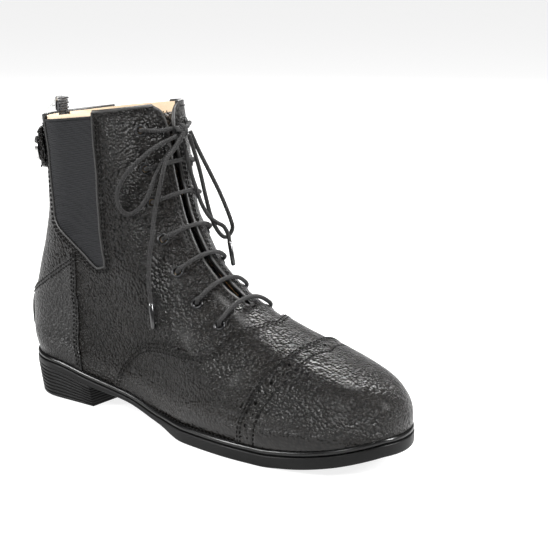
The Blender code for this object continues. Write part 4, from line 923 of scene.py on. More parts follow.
def elastic_material():
    material, tree, shader, place = start_material("elastic_look", 0.85, sheen=0.03, specular=0.15)
    ribs = place_in(tree, "ShaderNodeTexWave", wave_type="BANDS", bands_direction="Z")
    ribs.inputs["Scale"].default_value = 290.0
    ribs.inputs["Distortion"].default_value = 0.35
    ribs.inputs["Detail"].default_value = 1.0
    tree.links.new(place, ribs.inputs["Vector"])
    threads = noise(tree, place, 1500.0, 2.0)
    height = maths(tree, "ADD", ribs.outputs["Fac"], maths(tree, "MULTIPLY", threads, 0.4))
    add_bump(tree, shader, height, 0.55, 0.0006)
    tree.links.new(ramp(tree, height, 0.1, 1.2, ((0.004, 0.0042, 0.005), (0.017, 0.0175, 0.019))),
                   shader.inputs["Base Color"])
    return material


def grained_material(name, dark, light, roughness, scale, bump=0.25, depth=0.0004, **surface_settings):
    """Plain material with a fine mottled colour and a fine grain."""
    material, tree, shader, place = start_material(name, roughness, **surface_settings)
    fine = noise(tree, place, scale, 4.0)
    broad = noise(tree, place, scale / 22, 2.0)
    tone = maths(tree, "ADD", maths(tree, "MULTIPLY", fine, 0.5), maths(tree, "MULTIPLY", broad, 0.5))
    tree.links.new(ramp(tree, tone, 0.32, 0.70, (dark, light)), shader.inputs["Base Color"])
    low, high = (roughness - 0.06,) * 3, (roughness + 0.08,) * 3
    tree.links.new(ramp(tree, broad, 0.3, 0.7, (low, high)), shader.inputs["Roughness"])
    add_bump(tree, shader, fine, bump, depth)
    return material


def cord_material():
    """Braided round lace."""
    material, tree, shader, place = start_material("cord_look", 0.78, sheen=0.05, specular=0.25)
    height = None
    for direction in ("X", "Y", "Z"):
        wave = place_in(tree, "ShaderNodeTexWave", wave_type="BANDS", bands_direction=direction)
        wave.inputs["Scale"].default_value = 330.0
        wave.inputs["Distortion"].default_value = 1.2
        tree.links.new(place, wave.inputs["Vector"])
        height = wave.outputs["Fac"] if height is None else maths(tree, "ADD", height, wave.outputs["Fac"])
    add_bump(tree, shader, height, 0.6, 0.0004)
    tree.links.new(ramp(tree, height, 0.6, 2.4, ((0.0028, 0.0028, 0.0028), (0.016, 0.0155, 0.0155))),
                   shader.inputs["Base Color"])
    return material


# Darkest and lightest colour, roughness, scale of the grain and other settings of the plain materials
GRAINED = {
    "edge": ((0.004, 0.004, 0.004), (0.016, 0.015, 0.014), 0.42, 900.0, {}),
    "rubber": ((0.0022, 0.0022, 0.0022), (0.0065, 0.0065, 0.0065), 0.42, 1200.0,
               {"bump": 0.12, "coat": 0.02, "coat_roughness": 0.3, "specular": 0.13}),
    "rand": ((0.002, 0.002, 0.002), (0.006, 0.006, 0.006), 0.22, 900.0,
             {"bump": 0.06, "coat": 0.10, "coat_roughness": 0.14, "specular": 0.22}),
    "lining": ((0.56, 0.43, 0.29), (0.76, 0.62, 0.46), 0.72, 1400.0, {"bump": 0.3, "sheen": 0.2}),
    # hole: painted shade, a flat dark colour for the discs that stand for the lining's pinholes
    "hole": ((0.003, 0.003, 0.003), (0.006, 0.006, 0.006), 0.8, 900.0, {}),
    "thread": ((0.0012, 0.0012, 0.0012), (0.0060, 0.0058, 0.0055), 0.6, 2600.0,
               {"sheen": 0.02, "specular": 0.10}),
    "aglet": ((0.006, 0.006, 0.006), (0.014, 0.014, 0.015), 0.16, 900.0,
              {"bump": 0.05, "coat": 0.5, "coat_roughness": 0.08}),
    "eyelet": ((0.02, 0.02, 0.021), (0.06, 0.06, 0.061), 0.30, 1500.0, {"bump": 0.05, "metallic": 1.0}),
    "zip": ((0.008, 0.008, 0.009), (0.026, 0.026, 0.028), 0.62, 2200.0, {"bump": 0.5, "sheen": 0.1}),
    "silver": ((0.52, 0.52, 0.51), (0.76, 0.76, 0.75), 0.24, 1300.0, {"bump": 0.05, "metallic": 1.0}),
}


def all_materials():
    pebbled = (0.0012, 0.0011, 0.0010), (0.0125, 0.0107, 0.0092), 0.28, 2.2
    smooth = (0.0012, 0.0011, 0.0011), (0.0085, 0.0076, 0.0069), 0.27, 0.9
    looks = {
        "leather": leather_material("leather_look", *pebbled),
        "smooth": leather_material("smooth_leather_look", *smooth),
        "elastic": elastic_material(),
        "cord": cord_material(),
    }
    for name, (dark, light, roughness, scale, settings) in GRAINED.items():
        looks[name] = grained_material(f"{name}_look", dark, light, roughness, scale, **settings)
    return looks


MATERIALS = all_materials()


def keep(obj, replaced=()):
    """The piece moves with the boot and stands for CAD nodes, which are hidden."""
    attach(obj, "boot")
    if replaced:
        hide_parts(*replaced)
    return obj


def apply_all(obj):
    """Turns the piece's modifiers into plain mesh."""
    graph = bpy.context.evaluated_depsgraph_get()
    mesh = bpy.data.meshes.new_from_object(obj.evaluated_get(graph))
    obj.modifiers.clear()
    obj.data = mesh
    mesh.shade_smooth()
    mesh.set_sharp_from_angle(angle=radians(40))


def quads_mesh(grid, closed_rows=False, closed_columns=False, first=0):
    """Faces of a grid of points by index."""
    rows, columns = grid
    faces = []
    for i in range(rows if closed_rows else rows - 1):
        for j in range(columns if closed_columns else columns - 1):
            k, m = (i + 1) % rows, (j + 1) % columns
            faces.append([first + i * columns + j, first + i * columns + m,
                          first + k * columns + m, first + k * columns + j])
    return faces


def frames_along(path):
    """Tangents and two turning-free cross directions along a path."""
    path = np.asarray(path, float)
    tangent = np.gradient(path, axis=0)
    tangent /= np.linalg.norm(tangent, axis=1, keepdims=True)
    start = np.array([0.0, 0.0, 1.0]) if abs(tangent[0][2]) < 0.8 else np.array([0.0, 1.0, 0.0])
    side = np.cross(tangent[0], start)
    sides = []
    for t in tangent:
        side = side - t * np.dot(side, t)
        side /= np.linalg.norm(side)
        sides.append(side)
    sides = np.array(sides)
    return sides, np.cross(tangent, sides)


def resample(path, step):
    path = np.asarray(path, float)
    travel = np.concatenate([[0.0], np.cumsum(np.linalg.norm(np.diff(path, axis=0), axis=1))])
    count = max(4, int(round(travel[-1] / step)) + 1)
    even = np.linspace(0, travel[-1], count)
    return np.stack([np.interp(even, travel, path[:, k]) for k in range(path.shape[1])], axis=1), travel[-1]


def tube_points(path, radius, segments):
    """Rings round a path; radius is a number or a function of ring number and angle."""
    side, third = frames_along(path)
    angles = np.arange(segments) * 2 * pi / segments
    reach = np.full((len(path), segments), 0.0)
    reach += radius(np.arange(len(path))[:, None], angles[None, :]) if callable(radius) else radius
    cosine, sine = np.cos(angles)[None, :, None], np.sin(angles)[None, :, None]
    ring = cosine * side[:, None, :] + sine * third[:, None, :]
    return np.asarray(path)[:, None, :] + reach[:, :, None] * ring


def tube(name, path, radius, material, segments=8, sharp_angle=60.0):
    rings = tube_points(path, radius, segments)
    rows, columns = rings.shape[:2]
    faces = quads_mesh((rows, columns), closed_columns=True)
    faces += [list(range(columns))[::-1], list(range((rows - 1) * columns, rows * columns))]
    return fix_facing(add_mesh(name, rings.reshape(-1, 3), faces, material, sharp_angle))


def braid(radius, pitch, step):
    """Radius of a round braided cord: crossing strands stand a little proud."""
    def read(ring, angle):
        turn = ring * step / pitch * 2 * pi
        ribs = np.abs(np.sin(2 * angle + turn)) + np.abs(np.sin(2 * angle - turn))
        return radius * (0.935 + 0.045 * ribs)
    return read


def solid_of_turning(name, centre, axis, profile, material, segments=28, sharp_angle=35.0):
    """Closed ring or disc from (radius, height) pairs round its section."""
    axis = np.asarray(axis, float) / np.linalg.norm(axis)
    side = np.cross(axis, [0.0, 0.0, 1.0] if abs(axis[2]) < 0.9 else [1.0, 0.0, 0.0])
    side /= np.linalg.norm(side)
    third = np.cross(axis, side)
    angles = np.arange(segments) * 2 * pi / segments
    points = [centre + axis * height + radius * (cos(angle) * side + sin(angle) * third)
              for radius, height in profile for angle in angles]
    hollow = min(radius for radius, _ in profile) > 0
    faces = quads_mesh((len(profile), segments), closed_rows=hollow, closed_columns=True)
    return clean(add_mesh(name, points, faces, material, sharp_angle), merge=1e-7)


def hole_cutter(centre, axis, radius):
    profile = [(0.0, -CUT_IN), (radius, -CUT_IN), (radius, CUT_OUT), (0.0, CUT_OUT)]
    return solid_of_turning("hole", centre, axis, profile, None, 14)


# Places on the skin


def metric(station, around):
    """Change of place per station and per turn, as two arrays of vectors."""
    step, turn = 0.01, 0.005
    up = np.minimum(station + step, COLLAR)
    down = np.maximum(station - step, TOE)
    high = np.minimum(around + turn, 1.0)
    low = np.maximum(around - turn, -1.0)
    per_station = (skin(up, around) - skin(down, around)) / (up - down)[..., None]
    per_turn = (skin(station, high) - skin(station, low)) / (high - low)[..., None]
    return per_station, per_turn


def shifted(station, around, distance):
    """A line on the skin moved sideways by a distance, to the left of its direction seen from outside."""
    station, around = np.asarray(station, float), np.asarray(around, float)
    path = skin(station, around)
    tangent = np.gradient(path, axis=0)
    tangent /= np.linalg.norm(tangent, axis=-1, keepdims=True)
    away = np.cross(skin_normal(station, around), tangent)
    per_station, per_turn = metric(station, around)
    a = np.sum(per_station**2, axis=-1)
    b = np.sum(per_station * per_turn, axis=-1)
    c = np.sum(per_turn**2, axis=-1)
    p = np.sum(per_station * away, axis=-1) * distance
    q = np.sum(per_turn * away, axis=-1) * distance
    det = a * c - b * b + 1e-18
    station = station + (c * p - b * q) / det
    around = around + (a * q - b * p) / det
    return np.clip(station, TOE, COLLAR), np.clip(around, -1, 1)


STITCH = 0.0020
STITCH_GAP = 0.0009
THREAD = 0.00040
STITCHES = []


def stitch_points(points, normals):
    """Adds a row of stitches along points that lie on a surface."""
    both = np.concatenate([points, normals], axis=1)
    travel = np.concatenate([[0.0], np.cumsum(np.linalg.norm(np.diff(points, axis=0), axis=1))])
    pitch = STITCH + STITCH_GAP
    for start in np.arange(pitch / 2, travel[-1] - pitch, pitch):
        at = start + STITCH * np.array([0.0, 0.12, 0.5, 0.88, 1.0])
        row = np.stack([np.interp(at, travel, both[:, k]) for k in range(6)], axis=1)
        lift = THREAD * np.array([-0.6, 0.25, 0.62, 0.25, -0.6])
        centre = row[:, :3] + row[:, 3:] * lift[:, None]
        STITCHES.append((centre, row[:, 3:]))


def stitch_row(station, around, offset):
    points, _ = resample(np.stack([station, around], axis=1), 0.02)
    station, around = points[:, 0], points[:, 1]
    stitch_points(surface(station, around, offset), skin_normal(station, around))


def seam_stitches(rows, distances, offset):
    """Rows of stitches beside a seam that runs over both sides."""
    share = np.linspace(-1, 1, 241)
    station, around = curve_read(rows, np.abs(share))
    for distance in distances:
        stitch_row(*shifted(station, around * np.where(share < 0, -1.0, 1.0), distance), offset)


def build_stitches():
    """Every stitch as a short rounded strand, all in one piece."""
    points, faces = [], []
    segments = 6
    radii = THREAD * np.array([0.45, 0.95, 1.0, 0.95, 0.45])
    angles = np.arange(segments) * 2 * pi / segments
    for centre, normal in STITCHES:
        along = centre[-1] - centre[0]
        along /= np.linalg.norm(along)
        up = normal - np.sum(normal * along, axis=1, keepdims=True) * along
        up /= np.linalg.norm(up, axis=1, keepdims=True)
        side = np.cross(along, up)
        first = len(points)
        for k in range(5):
            for angle in angles:
                points.append(centre[k] + radii[k] * (cos(angle) * side[k] + 0.8 * sin(angle) * up[k]))
        faces += quads_mesh((5, segments), closed_columns=True, first=first)
        ends = [first + n for n in range(segments)], [first + 4 * segments + n for n in range(segments)]
        faces += [ends[0][::-1], ends[1]]
    keep(clean(add_mesh("stitching", points, faces, MATERIALS["thread"], 180.0)))


# Upper

FINE_TURNS = np.linspace(-1, 1, 141)
FIRST_TOP = GAP + OVERLAY
SECOND_TOP = FIRST_TOP + GAP + OVERLAY
# Rounded edge of an overlay: distance from its cut edge, and how much of its height is left there
EDGE = [(0.0, 0.0), (0.00003, 0.45), (0.00022, 0.80), (0.00055, 0.95), (0.00110, 1.0), (0.0024, 1.0)]


def fine_stations():
    foot = spaced_stations(TOE, CORNER, 150)
    return np.concatenate([foot, spaced_stations(CORNER, COLLAR, 90)[1:]])


FINE = fine_stations()


def pinned(points, station, around, below=0.0):
    """Keeps the lower edge of a layer on the feather line."""
    on_feather = (np.abs(around) > 1 - 1e-9) & (base_place(station) < 1e-9)
    points[..., 2] = np.where(on_feather, feather_height(points[..., 0]) - below, points[..., 2])
    return points


def throat_turn(station, half):
    """Turn at which the skin is this far from the middle."""
    turns = np.linspace(0, 0.6, 121)
    across = skin(np.full(121, station), turns)[:, 1]
    return float(np.interp(half, across, turns))


def throat_line(side, inset=0.0):
    stations = np.linspace(7.42, 11.985, 120)
    half = table(THROAT, "station", "half", stations) + inset
    turns = np.array([throat_turn(s, h) for s, h in zip(stations, half)])
    return stations, side * turns


def fine_throat_cutter(wider=0.0):
    stations = np.linspace(THROAT[0].station, THROAT[-1].station, 90)
    half = table(THROAT, "station", "half", stations) + wider
    centre, normal = skin(stations, 0.0), skin_normal(stations, 0.0)
    across = np.zeros((len(stations), 2, 3))
    across[..., 1] = np.stack([-half, half], axis=1)
    grids = []
    for reach in (CUT_OUT, -THROAT_DEPTH):
        points = (centre + reach * normal)[:, None, :] + across
        grids.append(np.concatenate([points, points[-1:] + [0.0, 0.0, CUT_ABOVE]], axis=0))
    return add_shell("throat_cut", *grids)


def gusset_edges(share):
    return {name: table(GUSSET, "share", name, share) for name in Gusset._fields[1:]}


def gusset_places(side, rows, columns, inset=0.0, first=0.0, last=1.0):
    """Grid of places in a gusset's window, from the collar down to its tip."""
    share = np.linspace(first, last, rows)
    edges = {name: values[:, None] for name, values in gusset_edges(share).items()}
    front = skin(edges["front_station"], edges["front_around"])
    back = skin(edges["back_station"], edges["back_around"])
    inset = inset / np.linalg.norm(back - front, axis=-1)
    across = inset + (1 - 2 * inset) * np.linspace(0, 1, columns)
    station = (1 - across) * edges["front_station"] + across * edges["back_station"]
    around = (1 - across) * edges["front_around"] + across * edges["back_around"]
    return station, side * around


def gusset_outline(side):
    """Way round the window: down the front edge and up the back one."""
    edges = gusset_edges(np.linspace(0.0, 1.0, 70))
    station = np.concatenate([edges["front_station"], edges["back_station"][::-1]])
    around = np.concatenate([edges["front_around"], edges["back_around"][::-1]])
    return station, side * around


def build_quarters():
    station, around = np.meshgrid(FINE, FINE_TURNS, indexing="ij")
    outer = pinned(surface(station, around, np.zeros(station.shape)), station, around)
    inner = pinned(surface(station, around, -WALL), station, around)
    upper = add_shell("quarters", outer, inner, MATERIALS["leather"])
    boolean(upper, fine_throat_cutter())
    boolean(upper, zip_cutter())
    for side in (-1, 1):
        boolean(upper, add_cutter(f"window_{side + 1}", *gusset_places(side, 60, 10), first_row=CUT_ABOVE))
    holes = []
    for side in (-1, 1):
        for eyelet in EYELETS:
            centre, normal, _ = eyelet_frame(eyelet, side)
            holes.append(hole_cutter(centre, normal, EYELET_HOLE + 0.0004))
    boolean(upper, joined("eyelet_holes", holes))
    apply_all(upper)
    keep(upper, ["upper"])


# Groove along the cap's stitched line: distance from its middle, and share of its depth
HALF_GROOVE = [(0.0018, 0.0), (0.0009, 0.12), (0.0005, 0.55), (0.0002, 0.95)]
GROOVE = [(-away, deep) for away, deep in HALF_GROOVE] + [(0.0, 1.0)] + HALF_GROOVE[::-1]
GROOVE_DEPTH = 0.00045
# Last station that the toe cap hides of the vamp, and the room between two layers
VAMP_START = 4.4
CLOSE = 0.0001


def overlay_rows(seam_station, seam_around, start, groove):
    """Stations from a start to a seam over every turn, with close rows for a groove and for the edge."""
    per_station, _ = metric(seam_station, seam_around)
    reach = np.linalg.norm(per_station, axis=-1)
    edge = np.array([row[0] for row in EDGE])[::-1]
    rows = [seam_station - gap / reach for gap in edge]
    body_end = rows[0]
    depths = []
    if groove is not None:
        per_station, _ = metric(groove, seam_around)
        reach = np.linalg.norm(per_station, axis=-1)
        trough = [groove + away / reach for away, _ in GROOVE]
        between = [trough[-1] + (body_end - trough[-1]) * t for t in np.linspace(0, 1, 12)[1:-1]]
        rows = trough + between + rows
        depths = [deep for _, deep in GROOVE] + [0.0] * len(between)
        body_end = trough[0]
    shape = spaced_stations(TOE, float(body_end.max()), 90) / float(body_end.max())
    body = [start + (body_end - start) * t for t in shape[:-1]]
    return np.array(body + rows), np.array([0.0] * len(body) + depths + [0.0] * len(edge))


def read_seam(rows, turns):
    """Station of a seam at given turns."""
    share = np.linspace(0, 1, 400)
    station, around = curve_read(rows, share)
    order = np.maximum.accumulate(around)
    return np.interp(np.abs(turns), order + np.arange(400) * 1e-9, station)


def overlay(name, seam, start, low, high, groove=None):
    """Layer from a start station to its seam, rounded along the seam."""
    seam_station = read_seam(seam, FINE_TURNS)
    line = None if groove is None else read_seam(groove, FINE_TURNS)
    station, deep = overlay_rows(seam_station, FINE_TURNS, start, line)
    around = np.broadcast_to(FINE_TURNS, station.shape)
    height = np.full(station.shape, high) - GROOVE_DEPTH * deep[:, None]
    for k, (_, share) in enumerate(EDGE[::-1]):
        height[len(deep) - len(EDGE) + k] = low + (high - low) * share
    outer = pinned(surface(station, around, height), station, around)
    inner = pinned(surface(station, around, low), station, around)
    return add_shell(name, outer, inner, MATERIALS["leather"])


CAP_LINE = [
    Seam(0.00, 4.66, 0.000), Seam(0.10, 4.80, 0.100), Seam(0.26, 4.92, 0.260), Seam(0.45, 5.04, 0.455),
    Seam(0.60, 5.25, 0.595), Seam(0.70, 5.40, 0.685), Seam(0.80, 5.54, 0.780), Seam(0.90, 5.60, 0.880),
    Seam(1.00, 5.68, 1.000),
]
PUNCH_PITCH = 0.0072
PUNCH_BIG = 0.00115
PUNCH_SMALL = 0.00062
PUNCH_APART = 0.0021


def punch_places():
    """Centre, axis and radius of every punched hole in the cap's strip."""
    turns = np.linspace(-0.97, 0.97, 400)
    station = (read_seam(CAP_LINE, turns) + read_seam(CAP_SEAM, turns)) / 2 - 0.03
    path = surface(station, turns, SECOND_TOP)
    travel = np.concatenate([[0.0], np.cumsum(np.linalg.norm(np.diff(path, axis=0), axis=1))])
    count = int(travel[-1] / PUNCH_PITCH)
    found = []
    for number in range(count + 1):
        at = travel[-1] / 2 + (number - count / 2) * PUNCH_PITCH
        here, turn = np.interp(at, travel, station), np.interp(at, travel, turns)
        normal = skin_normal(here, turn)
        if number % 2:
            found.append((surface(here, turn, SECOND_TOP), normal, PUNCH_BIG))
            continue
        reach = np.linalg.norm((skin(here + 0.05, turn) - skin(here - 0.05, turn)) / 0.1)
        for way in (-1, 1):
            place = here + way * PUNCH_APART / reach
            found.append((surface(place, turn, SECOND_TOP), skin_normal(place, turn), PUNCH_SMALL))
    return found


def build_overlays():
    keep(overlay("vamp_leather", VAMP_SEAM, VAMP_START, CLOSE, FIRST_TOP), ["vamp"])
    cap = overlay("cap_leather", CAP_SEAM, TOE, FIRST_TOP + CLOSE, SECOND_TOP, groove=CAP_LINE)
    cutters = []
    for centre, normal, radius in punch_places():
        profile = [(0.0, -0.0012), (radius, -0.0012), (radius, 0.0010), (0.0, 0.0010)]
        cutters.append(solid_of_turning("punch", centre, normal, profile, None, 10))
    boolean(cap, joined("punches", cutters))
    apply_all(cap)
    keep(cap, ["toe_cap"])
    seam_stitches(VAMP_SEAM, (-0.0020, -0.0042), FIRST_TOP)
    seam_stitches(CAP_SEAM, (-0.0016, -0.0034), SECOND_TOP)
    seam_stitches(CAP_LINE, (0.0,), SECOND_TOP - 0.0003)


COUNTER_TOP = 0.0009
COUNTER_LINE = [
    Seam(0.00, 10.72, 1.000), Seam(0.22, 10.715, 0.840), Seam(0.42, 10.71, 0.600), Seam(0.50, 10.70, 0.501),
    Seam(0.58, 10.514, 0.514), Seam(0.67, 10.327, 0.562), Seam(0.76, 10.141, 0.664), Seam(0.85, 9.914, 0.795),
    Seam(0.93, 9.727, 0.901), Seam(1.00, 9.614, 1.000),
]


def build_counter():
    """Back panel over the heel, from its seam down to the sole edge and round the back."""
    share = np.linspace(0, 1, 121)
    seam_station, seam_around = curve_read(COUNTER_LINE, share)
    base_station = COUNTER_LINE[0].station + (COUNTER_LINE[-1].station - COUNTER_LINE[0].station) * share
    width = np.linalg.norm(skin(seam_station, seam_around) - skin(base_station, 1.0), axis=-1)
    rows_near = np.array([row[0] for row in EDGE])
    near = rows_near[:, None] / np.maximum(width, 0.004)[None, :]
    body = near[-1][None, :] + (1 - near[-1])[None, :] * np.linspace(0, 1, 60)[1:, None]
    t = np.concatenate([near, body], axis=0)
    t = np.clip(t, 0, 1)
    station = seam_station + (base_station - seam_station) * t
    around = seam_around + (1.0 - seam_around) * t
    height = np.full(station.shape, COUNTER_TOP)
    for k, (_, left) in enumerate(EDGE):
        height[k] = CLOSE + (COUNTER_TOP - CLOSE) * left
    halves = []
    for side in (-1, 1):
        outer = pinned(surface(station, side * around, height), station, around)
        inner = pinned(surface(station, side * around, CLOSE), station, around)
        halves.append(add_shell(f"counter_{side}", outer, inner, MATERIALS["smooth"]))
    counter = clean(joined("counter_leather", halves, MATERIALS["smooth"]), merge=2e-6, turn=False)
    keep(counter, ["counter"])
    for side in (-1, 1):
        line = curve_read(COUNTER_LINE, np.linspace(0.02, 0.995, 200))
        for distance in (0.0018, 0.0038):
            stitch_row(*shifted(line[0], side * line[1], side * distance), COUNTER_TOP)


RIB_PITCH = 0.00145


def build_gussets():
    for side, word in SIDES:
        share = np.linspace(GUSSET_DROP / GUSSET_LENGTH, 0.998, 330)
        station, around = gusset_places(side, 330, 22, 0.0001, share[0], share[-1])
        length = share * GUSSET_LENGTH * 1.06
        ribs = 0.00016 * np.sin(2 * pi * length / RIB_PITCH)
        across = np.linspace(-1, 1, 22)
        belly = -0.00045 * (1 - across**2)
        offset = -0.0007 + ribs[:, None] + belly[None, :]
        outer = surface(station, around, offset)
        inner = surface(station, around, -GUSSET_RECESS - ELASTIC)
        panel = add_shell(f"elastic_{word}", outer, inner, MATERIALS["elastic"], 80.0)
        keep(panel, [f"gusset_{word}"])
        line = gusset_outline(side)
        path, _ = resample(surface(*line, -0.0004), 0.0012)
        keep(tube(f"window_edge_{word}", path, 0.00085, MATERIALS["edge"]))
        for distance in (-0.0020, -0.0040):
            stitch_row(*shifted(line[0][3:-3], line[1][3:-3], side * distance), 0.0)
        hem = surface(station[2], around[2], -0.0008)
        keep(tube(f"elastic_hem_{word}", hem, 0.0008, MATERIALS["elastic"]))


def build_edges():
    """Rounded edges of the facings and of the collar, with their stitches."""
    for side, word in SIDES:
        stations, turns = throat_line(side, 0.0002)
        path, _ = resample(surface(stations, turns, -0.0007), 0.0012)
        keep(tube(f"facing_edge_{word}", path, 0.00115, MATERIALS["edge"]))
        for inset in (0.0024, 0.0046):
            line = throat_line(side, inset)
            stitch_row(line[0][4:-3], line[1][4:-3], 0.0)
        front = abs(turns[-1])
        parts = (front, GUSSET[0].front_around, "front"), (GUSSET[0].back_around, 0.985, "back")
        for start, end, part in parts:
            around = side * np.linspace(start, end, 60)
            station = np.full(60, float(COLLAR))
            rim = surface(station, around, -0.0010)
            keep(tube(f"collar_edge_{part}_{word}", resample(rim, 0.0012)[0], 0.00125, MATERIALS["edge"]))
            below = np.clip(around, -0.965, 0.965)
            stitch_row(np.full(60, 11.945), below, 0.0)
    bottom = np.linspace(-1, 1, 13)
    station = np.full(13, 7.42)
    turn = throat_turn(7.42, 0.0016)
    path = surface(station, turn * bottom, -0.0005)
    keep(tube("facing_edge_bottom", path, 0.0010, MATERIALS["edge"]))


# Section of a pinhole's dark disc of painted shade, as (radius, height) pairs
PINHOLE = [(0.0, -0.0001), (0.00055, -0.0001), (0.00055, 0.00008), (0.0, 0.00008)]


def build_lining():
    """Pale lining on the inside of the shaft, with a row of pinholes under the collar drawn as dark discs of
    painted shade.
    """
    rows = spaced_stations(8.6, COLLAR, 60)
    station, around = np.meshgrid(rows, np.linspace(-1, 1, 101), indexing="ij")
    outer = surface(station, around, -WALL - 0.0001)
    inner = surface(station, around, -WALL - 0.0008)
    lining = add_shell("shaft_lining", outer, inner, MATERIALS["lining"])
    boolean(lining, fine_throat_cutter(0.0050))
    boolean(lining, zip_cutter())
    apply_all(lining)
    keep(lining)
    # The pinholes are thin dark discs on the lining: painted shade in place of real holes
    dots = []
    for around in np.concatenate([np.linspace(-0.95, -0.40, 26), np.linspace(0.40, 0.95, 26)]):
        centre = surface(11.90, around, -WALL - 0.0008)
        axis = -skin_normal(11.90, around)
        dots.append(solid_of_turning("dot", centre, axis, PINHOLE, None, 8))
    keep(joined("lining_pinhole_shade", dots, MATERIALS["hole"]))


def build_tongue_piece():
    stations = np.linspace(TONGUE[0].station, TONGUE[-1].station + 0.05, 80)
    half = table(TONGUE, "station", "half_around", stations)
    depth = TONGUE_DEPTH * table(TONGUE, "station", "depth", stations)
    across = np.linspace(-1, 1, 31)
    station = np.repeat(stations[:, None], 31, axis=1)
    around = half[:, None] * across[None, :]
    end = np.clip((stations[-1] - stations) / 0.03, 0, 1)[:, None]
    round_edge = (1 - np.abs(across) ** 14)[None, :] * np.sqrt(end)
    outer = surface(station, around, -depth[:, None] - TONGUE_THICKNESS * 0.45 * (1 - round_edge))
    inner = surface(station, around, -depth[:, None] - TONGUE_THICKNESS * (0.55 + 0.45 * round_edge))
    keep(add_shell("tongue_leather", outer, inner, MATERIALS["leather"]), ["tongue"])


# Sole


def end_faces(rings, count, first_partner):
    """Faces across the first and the last ring; point n faces point first_partner - n."""
    faces = []
    for base in (0, (rings - 1) * count):
        for n in range(count // 2):
            ring = [n, n + 1, (first_partner - n - 1) % count, (first_partner - n) % count]
            face = [base + v for k, v in enumerate(ring) if v != ring[k - 1]]
            faces.append(face[::-1] if base else face)
    return faces


def ring_piece(name, profile, material, closed):
    """Piece from a section of (inset, height function) pairs drawn round the feather line."""
    rings = []
    for inset, height in profile:
        loop = feather_loop(lambda along, inset=inset: edge_margin(along) - inset, 170)
        rings.append(raised(loop, height))
    count = len(rings[0])
    points = np.concatenate(rings)
    faces = quads_mesh((len(rings), count), closed_rows=closed, closed_columns=True)
    if not closed:
        faces += end_faces(len(rings), count, count)
    return fix_facing(clean(add_mesh(name, points, faces, material, 50.0)))


def build_soles():
    def at(share):
        return lambda along: sole_top(along) + GAP + share * WELT_THICKNESS
    rounds = np.linspace(-0.92, 0.92, 11)
    deepest = 1 - np.sqrt(1 - 0.92**2)
    bead = [(0.0012 * (1 - np.sqrt(1 - v * v)) / deepest, at(0.5 + 0.54 * v)) for v in rounds]
    inner = [(0.0062, at(0.98)), (0.0062, at(0.06))]
    keep(ring_piece("welt_rand", bead + inner, MATERIALS["rand"], True), ["welt"])
    edge = EDGE_ROUND
    section = [(edge * 1.6, sole_bottom)]
    for angle in np.linspace(0, pi / 2, 5):
        rise = edge * (1 - cos(angle))
        section.append((edge * (1 - sin(angle)), lambda along, rise=rise: sole_bottom(along) + rise))
    section += [(0.0, lambda along: sole_bottom(along) + 0.55 * sole_thickness(along)),
                (0.0, lambda along: sole_top(along) - edge)]
    for angle in np.linspace(0.2, pi / 2, 4):
        drop = edge * (1 - sin(angle))
        section.append((edge * (1 - cos(angle)), lambda along, drop=drop: sole_top(along) - drop))
    section.append((0.004, sole_top))
    keep(ring_piece("sole_edge", section, MATERIALS["rubber"], False), ["outsole"])
    loop = feather_loop(lambda along: edge_margin(along) - 0.0017, 200)
    loop = np.roll(loop, 120, axis=0)
    points = raised(loop, lambda along: sole_top(along) + GAP + 1.005 * WELT_THICKNESS)
    for keep_side in (points[:, 1] < 0, points[:, 1] >= 0):
        row = points[keep_side & (points[:, 0] > 0.05)]
        row = row[np.argsort(row[:, 0])]
        stitch_points(row, np.tile([0.0, 0.0, 1.0], (len(row), 1)))


# Steps along one groove of the heel, in shares of its height, and how deep it is there
HEEL_GROOVE = ((-0.042, 0.0), (-0.028, 0.35), (-0.012, 0.95), (0.012, 0.95), (0.028, 0.35), (0.042, 0.0))


def build_heel_block():
    """Heel block with grooves between its lifts, narrowing towards the floor."""
    span = 46
    back = feather_loop(edge_margin, 400)
    back = back[back[:, 0] < HEEL_BREAST]
    back = back[np.argsort(np.arctan2(back[:, 1], HEEL_BREAST - back[:, 0]))]
    travel = np.concatenate([[0.0], np.cumsum(np.linalg.norm(np.diff(back, axis=0), axis=1))])
    even = np.linspace(0, travel[-1], 2 * span + 1)
    outline = np.stack([np.interp(even, travel, back[:, k]) for k in (0, 1)], axis=1)
    outline[[0, -1], 0] = HEEL_BREAST
    tangent = np.gradient(outline, axis=0)
    normal = np.stack([-tangent[:, 1], tangent[:, 0]], axis=1)
    normal /= np.linalg.norm(normal, axis=1, keepdims=True)
    if normal[span, 0] > 0:
        normal = -normal
    levels, depths = [0.0, 0.008, 0.03], [0.0007, 0.0002, 0.0]
    for rib in range(1, HEEL_RIBS + 1):
        share = rib / (HEEL_RIBS + 1)
        for step, deep in HEEL_GROOVE:
            levels.append(share + step)
            depths.append(deep * 0.0008)
    levels += [0.975, 1.0]
    depths += [0.0, 0.0003]
    rings = []
    for level, depth in zip(levels, depths):
        ring = outline - normal * (HEEL_TAPER * (1 - level) + depth)
        ring[:, 0] = np.minimum(ring[:, 0], HEEL_BREAST - depth * 0.3)
        ring[[0, -1], 0] = HEEL_BREAST - depth * 0.3
        top = sole_bottom(ring[:, 0]) - GAP / 2
        rings.append(np.concatenate([ring, (top * level)[:, None]], axis=1))
    count = len(rings[0])
    faces = quads_mesh((len(rings), count), closed_columns=True)
    faces += end_faces(len(rings), count, count - 1)
    block = clean(add_mesh("heel_block", np.concatenate(rings), faces, MATERIALS["rubber"], 60.0))
    keep(fix_facing(block), ["heel"])


# Laces

LACE_STEP = 0.00045
BRAID_PITCH = 0.0046
ROUTE_STEPS = 5
BOW_STEPS = 12


def strand(name, path, radius=LACE / 2):
    """Braided cord along a path with even steps."""
    return tube(name, path, braid(radius, BRAID_PITCH, LACE_STEP), MATERIALS["cord"], 12, 80.0)


